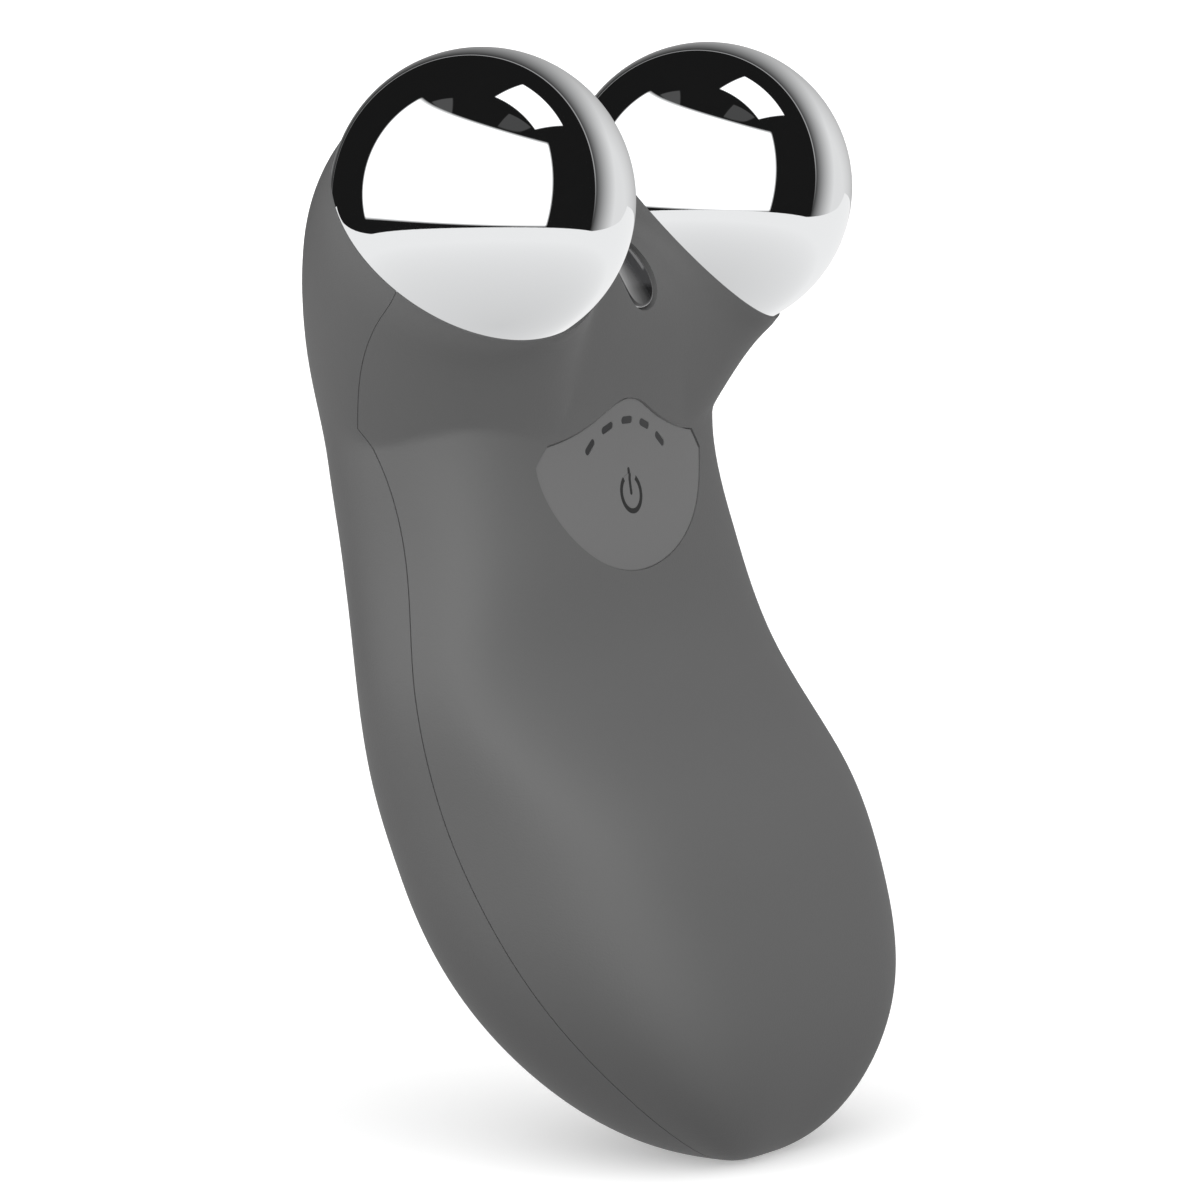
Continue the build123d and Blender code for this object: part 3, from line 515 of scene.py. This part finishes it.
def lens_loop(grow):
    """The lens's outline, an upright drop, grown by grow."""
    half, low, high = 3.1 + grow, 81.7 - grow, 90.2 + grow
    middle = low + 0.47 * (high - low)
    lower = cubic((0, low), (half * 0.62, low + 0.1), (half, middle - 2.6), (half, middle), 40)
    upper = cubic((half, middle), (half, middle + 2), (half * 0.6, high), (0, high), 40)
    right = np.concatenate([lower, upper])
    left = right[1:][::-1] * [-1, 1]
    return np.concatenate([right, [[0, high]], left])


def offset_loop(loop, distance):
    """Moves a closed loop inwards along its own normals."""
    along = np.roll(loop, -1, 0) - np.roll(loop, 1, 0)
    along /= np.hypot(*along.T)[:, None]
    normal = np.stack([-along[:, 1], along[:, 0]], 1)
    area = np.sum(loop[:, 0] * np.roll(loop[:, 1], -1) - np.roll(loop[:, 0], -1) * loop[:, 1])
    return loop + normal * distance * (1 if area > 0 else -1)


def plate(name, loop, centre, top, crown, bottom, edge):
    """A piece let into the skin. Its face lies top under it at the rounded edge, and crown at the centre."""
    wall_steps, edge_steps, face_steps = 3, 6, 26
    stack = []

    def ring(points, inset):
        x, z = points.T
        stack.append(np.stack([x, front_surface(x, z, inset), z], 1))

    ring(loop, bottom)
    for k in range(1, wall_steps + 1):
        ring(loop, bottom + (top + edge - bottom) * k / wall_steps)
    for k in range(1, edge_steps + 1):
        angle = pi / 2 * k / edge_steps
        ring(offset_loop(loop, edge * (1 - cos(angle))), top + edge * (1 - sin(angle)))
    inner = offset_loop(loop, edge)
    centre = np.array(centre)
    for k in range(1, face_steps):
        share = 1 - k / face_steps
        ring(centre + (inner - centre) * share, crown + (top - crown) * share**2)
    return loft(name, stack)


def upright_slot_loop(z, length, width):
    """A round-ended slot that stands on the middle line."""
    r = width / 2
    angles = np.linspace(0, pi, 17)
    upper = np.stack([r * np.cos(angles), length / 2 - r + r * np.sin(angles)], 1)
    return np.concatenate([upper, -upper]) + [0, z]


def bars_tree():
    """Round-ended bars repeated along an arch, each square to it and reaching from front to back."""
    tree = bpy.data.node_groups.new("indicator_bars_on_an_arch", "GeometryNodeTree")
    for label, kind in (("Count", "Int"), ("Arch Radius", "Float"), ("Pitch", "Float"), ("Length", "Float"),
                        ("Width", "Float"), ("Front", "Float"), ("Back", "Float"), ("Finish", "Material")):
        tree.interface.new_socket(label, in_out="INPUT", socket_type=f"NodeSocket{kind}")
    tree.interface.new_socket("Bars", in_out="OUTPUT", socket_type="NodeSocketGeometry")
    size = node(tree, "NodeGroupInput").outputs
    corner = node(tree, "ShaderNodeMath", {0: size["Width"], 1: 0.499}, operation="MULTIPLY")
    outline = node(tree, "GeometryNodeCurvePrimitiveQuadrilateral", {"Width": size["Length"],
                                                                     "Height": size["Width"]})
    outline = node(tree, "GeometryNodeFilletCurve", {"Curve": outline.outputs["Curve"], "Count": 8,
                                                     "Radius": corner.outputs[0], "Limit Radius": True},
                   mode="POLY")
    front = node(tree, "ShaderNodeCombineXYZ", {"Y": size["Front"]})
    back = node(tree, "ShaderNodeCombineXYZ", {"Y": size["Back"]})
    line = node(tree, "GeometryNodeCurvePrimitiveLine", {"Start": front.outputs[0], "End": back.outputs[0]})
    bar = node(tree, "GeometryNodeCurveToMesh", {"Curve": line.outputs["Curve"], "Fill Caps": True,
                                                 "Profile Curve": outline.outputs["Curve"]})
    last = node(tree, "ShaderNodeMath", {0: size["Count"], 1: 1.0}, operation="SUBTRACT")
    index = node(tree, "GeometryNodeInputIndex")
    steps = node(tree, "ShaderNodeMath", {0: last.outputs[0], 1: -0.5, 2: index.outputs[0]},
                 operation="MULTIPLY_ADD")
    turn = node(tree, "ShaderNodeMath", {0: steps.outputs[0], 1: size["Pitch"]}, operation="MULTIPLY")
    across = node(tree, "ShaderNodeMath", {0: turn.outputs[0]}, operation="SINE")
    up = node(tree, "ShaderNodeMath", {0: turn.outputs[0]}, operation="COSINE")
    place = node(tree, "ShaderNodeCombineXYZ", {"X": across.outputs[0], "Z": up.outputs[0]})
    place = node(tree, "ShaderNodeVectorMath", {0: place.outputs[0], "Scale": size["Arch Radius"]},
                 operation="SCALE")
    points = node(tree, "GeometryNodePoints", {"Count": size["Count"], "Position": place.outputs[0]})
    lean = node(tree, "ShaderNodeCombineXYZ", {"Y": turn.outputs[0]})
    copies = node(tree, "GeometryNodeInstanceOnPoints", {"Points": points.outputs[0],
                                                         "Rotation": lean.outputs[0],
                                                         "Instance": bar.outputs["Mesh"]})
    solid = node(tree, "GeometryNodeRealizeInstances", {"Geometry": copies.outputs["Instances"]})
    dressed = node(tree, "GeometryNodeSetMaterial", {"Geometry": solid.outputs["Geometry"],
                                                     "Material": size["Finish"]})
    node(tree, "NodeGroupOutput", {"Bars": dressed.outputs["Geometry"]})
    return tree


def bars(tree, grow=0.0):
    """The bars as one plain mesh, grown all round for their slots."""
    holder = new_object("bars", [], [])
    modifier = holder.modifiers.new("bars", "NODES")
    modifier.node_group = tree
    values = {**BAR_ARCH, "Length": BAR_LENGTH + 2 * grow, "Width": BAR_WIDTH + 2 * grow,
              "Front": BEFORE_FACE, "Back": 4.0, "Finish": smoked_bar}
    for socket in tree.interface.items_tree:
        if socket.in_out == "INPUT":
            modifier[socket.identifier] = values[socket.name]
    apply(holder)
    holder.data.transform(Matrix.Translation((0, 0, BAR_ARCH_Z)))
    return holder


def bar_places():
    """The X and Z of each bar, for the light guide's holes behind them."""
    steps = [BAR_ARCH["Pitch"] * (i - (BAR_ARCH["Count"] - 1) / 2) for i in range(BAR_ARCH["Count"])]
    return [(BAR_ARCH["Arch Radius"] * sin(a), BAR_ARCH_Z + BAR_ARCH["Arch Radius"] * cos(a)) for a in steps]


def open_ring(name, radius, stroke, opening):
    """A ring round the mark's middle, open by opening to each side of its top, through the pad's face."""
    out = np.linspace(radians(90 + opening), radians(450 - opening), 73)
    n = len(out)
    points = []
    for r in (radius + stroke / 2, radius - stroke / 2):
        for y in (BEFORE_FACE, BEHIND_MARK):
            points += [(r * cos(a), y, MARK_Z + r * sin(a)) for a in out]
    faces = []
    for i in range(n - 1):
        for a, b in ((0, n), (2 * n, 3 * n), (0, 2 * n), (n, 3 * n)):
            faces.append((a + i, a + i + 1, b + i + 1, b + i))
    for i in (0, n - 1):
        faces.append((i, n + i, 3 * n + i, 2 * n + i))
    return new_object(name, points, faces)


def ramp(values, start, end):
    """0 at start and before it, rising to 1 at end and beyond it."""
    return np.clip((values - start) / (end - start), 0, 1)


def under_arm(points):
    """Where the arms run into the neck's front, between the balls."""
    x, y, z = np.abs(points[:, 0]), points[:, 1], points[:, 2]
    share = ramp(z, 73.5, 76.5) * ramp(z, 91, 82) * ramp(x, 16, 12) * ramp(y, 8, 4)
    return np.clip(1.5 * share, 0, 1)


def behind_neck(points):
    """Where the arms run into the neck's back."""
    y, z = points[:, 1], points[:, 2]
    return ramp(y, 12, 16) * ramp(z, 56, 61) * ramp(z, 90, 82)


def shell_body():
    """Handle, neck and arms in one smooth skin, before it is parted."""
    skin = loft("skin", skin_rings(0, 0.8, 240))
    for side in (-1, 1):
        arm = loft("arm", arm_rings(side, 0, ARM_BEYOND, 0.8, 160, RIM_FALL))
        cut(skin, arm, operation="UNION")
    remesh = skin.modifiers.new("even", "REMESH")
    remesh.mode, remesh.voxel_size = "VOXEL", VOXEL
    apply(skin)
    relaxed(skin, rounds=6)
    relaxed(skin, rounds=50, weight=under_arm)
    relaxed(skin, rounds=60, weight=behind_neck)
    socket = sphere_profile(BALL_R + BALL_GAP, 128)
    for side in (-1, 1):
        cut(skin, rod(ball_centre(side), arm_axis(side), RIM_R + MOUTH_CLEAR, -RIM_SETBACK, MOUTH_END, 192),
            turned("socket", socket, ball_centre(side), arm_axis(side), 192))
    return skin


def hollow_body():
    """The room inside, a wall's thickness in from the skin and from the balls' sockets."""
    hollow = loft("hollow", skin_rings(WALL, 2.0, 96))
    socket = sphere_profile(BALL_R + BALL_GAP + SOCKET_WALL, 48)
    for side in (-1, 1):
        cut(hollow, loft("arm", arm_rings(side, WALL, 0, 2.0, 64)), operation="UNION")
        cut(hollow, turned("socket", socket, ball_centre(side), arm_axis(side), 96),
            rod(ball_centre(side), arm_axis(side), *STUD_ROOM))
    return hollow


def cut_inlet(body):
    """Thickens the shell around the charging inlet, and cuts its recess and bore."""
    centre = Vector((0, float(girth(INLET_HEIGHT, 0)[2]), INLET_HEIGHT))
    axis = (0, sin(INLET_TILT), -cos(INLET_TILT))
    boss = cut(rod(centre, axis, *INLET_BOSS), loft("inner", skin_rings(INLET_BOSS_SKIN, 1.0, 160)),
               operation="INTERSECT")
    cut(body, boss, operation="UNION")
    cut(body, rod(centre, axis, *INLET_RECESS, 96), rod(centre, axis, *INLET_HOLE, 96))


def add_post(front, x, z):
    """A screw post for the circuit board, from the front shell's inside."""
    post = cut(rod((x, POST_Y, z), (0, 1, 0), *POST, 48), loft("limit", skin_rings(POST_SKIN, 1.5, 120)),
               operation="INTERSECT")
    cut(front, post, operation="UNION")
    cut(front, rod((x, POST_Y, z), (0, 1, 0), *SCREW_HOLE, 32))


def make_shells():
    """The front and the back shell."""
    body = cut(shell_body(), hollow_body())
    for side in (-1, 1):
        cut(body, rod(ball_centre(side), arm_axis(side), *STUD_HOLE))
    cut(body, cut(pushed("lens_tool", lens_loop(0.0), BEFORE_FACE, BEHIND_LENS),
                  loft("floor", skin_rings(LENS_BED, 1.0, 160))))
    cut_inlet(body)

    back = copy_of(body)
    front = cut(body, seam_prism(SEAM_FRONT), operation="INTERSECT")
    cut(back, seam_prism(-SEAM_BACK))
    cut(front, cut(pushed("pad_tool", pad_loop(PAD_SIDE_GAP, PAD_TOP_GAP), BEFORE_FACE, BEHIND_FACE),
                   loft("floor", skin_rings(PAD_BED, 1.0, 200))))
    cut(front, rod((0, HOLES_Y, STEM_Z), (0, 1, 0), *STEM_HOLE))
    for x, z in bar_places():
        cut(front, rod((x, HOLES_Y, z), (0, 1, 0), *GUIDE_HOLE, 32))
    below = [(-FAR, BELOW), (FAR, BELOW), (FAR, FLAT_HEIGHT), (-FAR, FLAT_HEIGHT)]
    cut(front, pushed("base", below, -FAR, FAR))
    for x in POST_XS:
        for z in POST_ZS:
            add_post(front, x, z)
    return front, back


front, back = make_shells()
finish(front, "front_shell_moulding", "toner", soft_touch, "soft_touch_grey", "front_shell", sharp=35)
finish(back, "back_shell_moulding", "toner", soft_touch, "soft_touch_grey", "back_shell", sharp=35)

# ------------------------------------------------------------------ press pad, windows and mark

pad = plate("pad", pad_loop(), PAD_CENTRE, PAD_SUNK, PAD_CROWN, PAD_BACK, PAD_EDGE_R)
cut(pad, rod((0, STEM_Y, STEM_Z), (0, 1, 0), *STEM), operation="UNION")
arch = bars_tree()
windows = plate("windows", pad_loop(), PAD_CENTRE, PAD_SUNK + BAR_SUNK, PAD_CROWN + BAR_SUNK, PAD_BACK,
                PAD_EDGE_R)
cut(windows, bars(arch), operation="INTERSECT")
cut(pad, bars(arch, BAR_GAP))
finish(windows, "indicator_bars", "button", smoked_bar, "smoked_window",
       *(f"indicator_window_{i}" for i in range(1, 6)))


def mark_tool(grow=0.0):
    """The mark's ring and bar down to its depth in the pad, its strokes widened by grow."""
    mark = open_ring("ring", MARK_R, MARK_STROKE + grow, MARK_OPENING - grow)
    bar = upright_slot_loop(MARK_BAR_Z, MARK_BAR_LENGTH + grow, MARK_BAR_WIDTH + grow)
    cut(mark, pushed("bar", bar, BEFORE_FACE, BEHIND_MARK), operation="UNION")
    return cut(mark, loft("below", skin_rings(-MARK_DEPTH, 0.8, 240)))


mark = cut(copy_of(pad), mark_tool(), operation="INTERSECT")
cut(pad, mark_tool(MARK_GAP))
finish(mark, "power_mark_inlay", "button", mark_moulding, "black_ink", "power_symbol")
finish(pad, "press_pad_moulding", "button", pad_coat, "pad_grey", "power_button", sharp=50)

# ------------------------------------------------------------------ lens


def painted_shade_below(material, height, fade, share):
    """Paints shade into a colour under a height: the part below is darkened in place of the dark reflection
    that the smoked lens shows there.
    """
    tree = material.node_tree
    shader = tree.nodes["Principled BSDF"]
    colour = shader.inputs["Base Color"].links[0].from_socket
    place = node(tree, "ShaderNodeTexCoord").outputs["Object"]
    up = node(tree, "ShaderNodeSeparateXYZ", {"Vector": place}).outputs["Z"]
    # The painted shade: the colour is scaled from share below the height up to 1 above it
    depth = node(tree, "ShaderNodeMapRange", {"Value": up, "To Min": share, "To Max": 1.0,
                                              "From Min": height - fade, "From Max": height + fade})
    dark = node(tree, "ShaderNodeVectorMath", {0: colour, "Scale": depth.outputs["Result"]},
                operation="SCALE")
    tree.links.new(dark.outputs["Vector"], shader.inputs["Base Color"])


# Painted shade on the lens: its colour is darkened below 84.1 mm in place of the dark reflection there
painted_shade_below(smoked_lens, height=0.0841, fade=0.0003, share=0.3)
lens = plate("lens", lens_loop(-LENS_GAP), LENS_CENTRE, LENS_EDGE, LENS_DISH, LENS_BED, LENS_EDGE_R)
finish(lens, "saddle_lens_moulding", "toner", smoked_lens, "dark_lens", "saddle_lens", sharp=50)

# ------------------------------------------------------------------ ball electrodes

for side, name in ((-1, "left"), (1, "right")):
    axis, centre = arm_axis(side), ball_centre(side)
    ball = turned("ball", sphere_profile(BALL_R, 128), centre, axis, 256)
    inside = turned("inside", sphere_profile(BALL_R - BALL_WALL, 32), centre, axis, 48)
    cut(inside, rod(centre, axis, *BALL_BOSS))
    cut(ball, inside, rod(centre, axis, *BALL_BORE))
    finish(ball, f"{name}_ball_electrode", "toner", chrome, "chrome_plate", f"{name}_ball")

# Mirrors show the table and the studio alone: no piece of the object is seen by a glossy ray
for piece in [*frame["nodes"].values(), *bpy.context.scene.collection.objects]:
    piece.visible_glossy = False

# ------------------------------------------------------------------ table, light and camera

VIEW_TURN, VIEW_LIFT = radians(58), radians(6)
CAMERA_AIM, CAMERA_DISTANCE, CAMERA_LENS = (0, 0.0014, 0.0532), 0.5945, 182.2


def lit_laminate():
    """A pale table top. Mirrors see it glowing, with painted shade dimming the glow under the object, and it
    throws little light up.
    """
    material = finish_material("pale_laminate", "#f4f4f4", 0.75, tint=0.004, mottle_mm=60,
                               **{"Emission Color": [1, 1, 1, 1], "Emission Strength": 0.3})
    tree = material.node_tree
    place = node(tree, "ShaderNodeTexCoord").outputs["Object"]
    # Painted shade: the glow that glossy rays see falls from 0.93 far off to 0.68 under the object
    away = node(tree, "ShaderNodeVectorMath", {0: place}, operation="LENGTH").outputs["Value"]
    share = node(tree, "ShaderNodeMapRange", {"Value": away, "From Min": 0.0, "From Max": 0.2,
                                              "To Min": 0.68, "To Max": 0.93}).outputs["Result"]
    mirrored = node(tree, "ShaderNodeEmission", {"Strength": share})
    thrown = node(tree, "ShaderNodeEmission", {"Strength": 0.45})
    path = node(tree, "ShaderNodeLightPath")
    plain = tree.nodes["Principled BSDF"].outputs["BSDF"]
    plain = node(tree, "ShaderNodeMixShader", {0: path.outputs["Is Diffuse Ray"], 1: plain,
                                               2: thrown.outputs[0]})
    plain = node(tree, "ShaderNodeMixShader", {0: path.outputs["Is Glossy Ray"], 1: plain.outputs[0],
                                               2: mirrored.outputs[0]})
    tree.links.new(plain.outputs[0], tree.nodes["Material Output"].inputs["Surface"])
    return material


pale_laminate = lit_laminate()


def stage_sheet(name, rows, round_front=False):
    """A sheet whose rows each have a distance behind the object, a height and a half width."""
    view = Vector((-sin(VIEW_TURN), -cos(VIEW_TURN), 0))
    side = Vector((view.y, -view.x, 0))
    points, faces = [], []
    n = 12
    for distance, height, reach in rows:
        middle = Vector((0, 0, height)) - view * distance
        points += [side * (s * reach) + middle for s in np.linspace(-1, 1, n + 1)]
    for r in range(len(rows) - 1):
        for c in range(n):
            a = r * (n + 1) + c
            faces.append((a, a + 1, a + n + 2, a + n + 1))
    if round_front:
        first, radius = len(points), rows[0][2]
        half_turn = np.linspace(-pi / 2, pi / 2, 2 * n + 1)
        points += [(view * cos(a) + side * sin(a)) * radius for a in half_turn]
        faces += [(n // 2, first + i, first + i + 1) for i in range(2 * n)]
    sheet = new_object(name, [p / 1000 for p in points], faces)
    sheet.data.shade_smooth()
    sheet.data.materials.append(pale_laminate)
    return sheet


stage_sheet("table", [(0, 0, 320), (400, 0, 510), (900, 0, 830), (1300, 0, 1100)], round_front=True)
backdrop = stage_sheet("backdrop", [(1300, 0, 1100), (1500, 60, 1200), (1650, 220, 1300), (1720, 500, 1400),
                                    (1750, 1200, 1500)])
backdrop.visible_glossy = False


def direction(right, up, towards):
    """A direction given as it lies to the camera, as a world vector."""
    back = Vector((-sin(VIEW_TURN) * cos(VIEW_LIFT), -cos(VIEW_TURN) * cos(VIEW_LIFT), sin(VIEW_LIFT)))
    across = Vector((cos(VIEW_TURN), -sin(VIEW_TURN), 0))
    return across * right + back.cross(across) * up + back * towards


# Each edge of a light is a circle on the sky: its axis as it lies to the camera, and the cosine that a
# direction inside exceeds
KEY_SOFTBOX = [((-0.275, -0.948, 0.157), -0.698), ((-0.678, 0.113, 0.726), -0.135),
               ((0.035, 0.983, 0.181), -0.206), ((-0.250, 0.079, 0.965), 0.067)]
TOP_SOFTBOX = [((0.754, -0.463, 0.466), -0.294), ((-0.331, 0.276, 0.902), -0.035),
               ((-0.537, 0.769, -0.347), 0.118), ((0.407, -0.118, -0.906), -0.213)]
LEFT_PANEL = [((-0.470, 0.363, 0.805), 0.570), ((-0.902, 0.433, 0.005), 0.658),
              ((0.110, 0.994, -0.006), 0.828)]
RIGHT_PANEL = [((0.894, 0.005, 0.447), 0.419), ((0.045, 0.305, 0.951), 0.629),
               ((-0.004, 0.987, 0.164), 0.802), ((0.297, 0.919, 0.261), 0.933)]
# The lights' edges, their strength, and how softly they end
LIGHTS = [(KEY_SOFTBOX, 1.5, 0.03), (TOP_SOFTBOX, 1.5, 0.012), (LEFT_PANEL, 0.075, 0.01),
          (RIGHT_PANEL, 0.06, 0.01)]
DARK_ROOM = 0.01
BACKDROP_AXIS, BACKDROP_EDGE = (0.495, -0.072, -0.866), 0.554
BODY_LIGHT_AXIS = (-0.102, -0.025, 0.994)


def sky_share(tree, view, axis, low, high, least=0.0, most=1.0):
    """Rises from least to most as the looked-at direction turns from low to high towards the axis."""
    towards = node(tree, "ShaderNodeVectorMath", {0: view, 1: list(direction(*axis))},
                   operation="DOT_PRODUCT").outputs["Value"]
    return node(tree, "ShaderNodeMapRange", {"Value": towards, "From Min": low, "From Max": high,
                                             "To Min": least, "To Max": most}).outputs["Result"]


def studio():
    """Even light on the matt body; softboxes, a dark room and a pale backdrop in the chrome."""
    world = bpy.data.worlds.new("studio")
    bpy.context.scene.world = world
    world.use_nodes = True
    tree = world.node_tree
    tree.nodes.clear()
    view = node(tree, "ShaderNodeTexCoord").outputs["Generated"]
    room = DARK_ROOM
    for edges, strength, soft in LIGHTS:
        light = strength
        for axis, edge in edges:
            side = sky_share(tree, view, axis, edge, edge + soft)
            light = node(tree, "ShaderNodeMath", {0: side, 1: light}, operation="MULTIPLY").outputs["Value"]
        room = node(tree, "ShaderNodeMath", {0: room, 1: light}, operation="ADD").outputs["Value"]
    # The backdrop, with a bright line along the upper part of its edge
    rim = sky_share(tree, view, BACKDROP_AXIS, BACKDROP_EDGE - 0.004, BACKDROP_EDGE + 0.004)
    rim_end = sky_share(tree, view, BACKDROP_AXIS, BACKDROP_EDGE + 0.008, BACKDROP_EDGE + 0.02, 1.0, 0.0)
    above = sky_share(tree, view, (0.2, 1.0, -0.2), 0.0, 0.5, most=0.4)
    line = node(tree, "ShaderNodeMath", {0: rim, 1: rim_end}, operation="MULTIPLY").outputs["Value"]
    line = node(tree, "ShaderNodeMath", {0: line, 1: above}, operation="MULTIPLY").outputs["Value"]
    sweep = sky_share(tree, view, BACKDROP_AXIS, BACKDROP_EDGE, BACKDROP_EDGE + 0.3)
    bright = sky_share(tree, view, (1, 0, 0), -0.6, 0.7, least=0.03, most=0.8)
    backdrop = node(tree, "ShaderNodeMath", {0: sweep, 1: bright}, operation="MULTIPLY").outputs["Value"]
    backdrop = node(tree, "ShaderNodeMath", {0: backdrop, 1: line}, operation="ADD").outputs["Value"]
    room = node(tree, "ShaderNodeMath", {0: room, 1: backdrop}, operation="ADD").outputs["Value"]
    even = sky_share(tree, view, BODY_LIGHT_AXIS, -0.5, 1.0, least=0.35, most=2.45)
    path = node(tree, "ShaderNodeLightPath")
    mirror = node(tree, "ShaderNodeBackground", {"Color": room, "Strength": 1.0})
    matt = node(tree, "ShaderNodeBackground", {"Color": even, "Strength": 1.0})
    seen = node(tree, "ShaderNodeBackground", {"Color": [1, 1, 1, 1], "Strength": 1.0})
    mix = node(tree, "ShaderNodeMixShader", {0: path.outputs["Is Glossy Ray"], 1: matt.outputs[0],
                                             2: mirror.outputs[0]})
    last = node(tree, "ShaderNodeMixShader", {0: path.outputs["Is Camera Ray"], 1: mix.outputs[0],
                                              2: seen.outputs[0]})
    node(tree, "ShaderNodeOutputWorld", {"Surface": last.outputs[0]})


studio()

camera = bpy.data.objects.new("camera", bpy.data.cameras.new("camera"))
bpy.context.scene.collection.objects.link(camera)
bpy.context.scene.camera = camera
aim = Vector(CAMERA_AIM)
camera.location = aim + direction(0, 0, CAMERA_DISTANCE)
camera.rotation_euler = (camera.location - aim).to_track_quat("Z", "Y").to_euler()
camera.data.sensor_width = 36
camera.data.sensor_fit = "HORIZONTAL"
camera.data.lens = CAMERA_LENS
camera.data.clip_start, camera.data.clip_end = 0.01, 50
bpy.context.scene.view_settings.view_transform = "Standard"
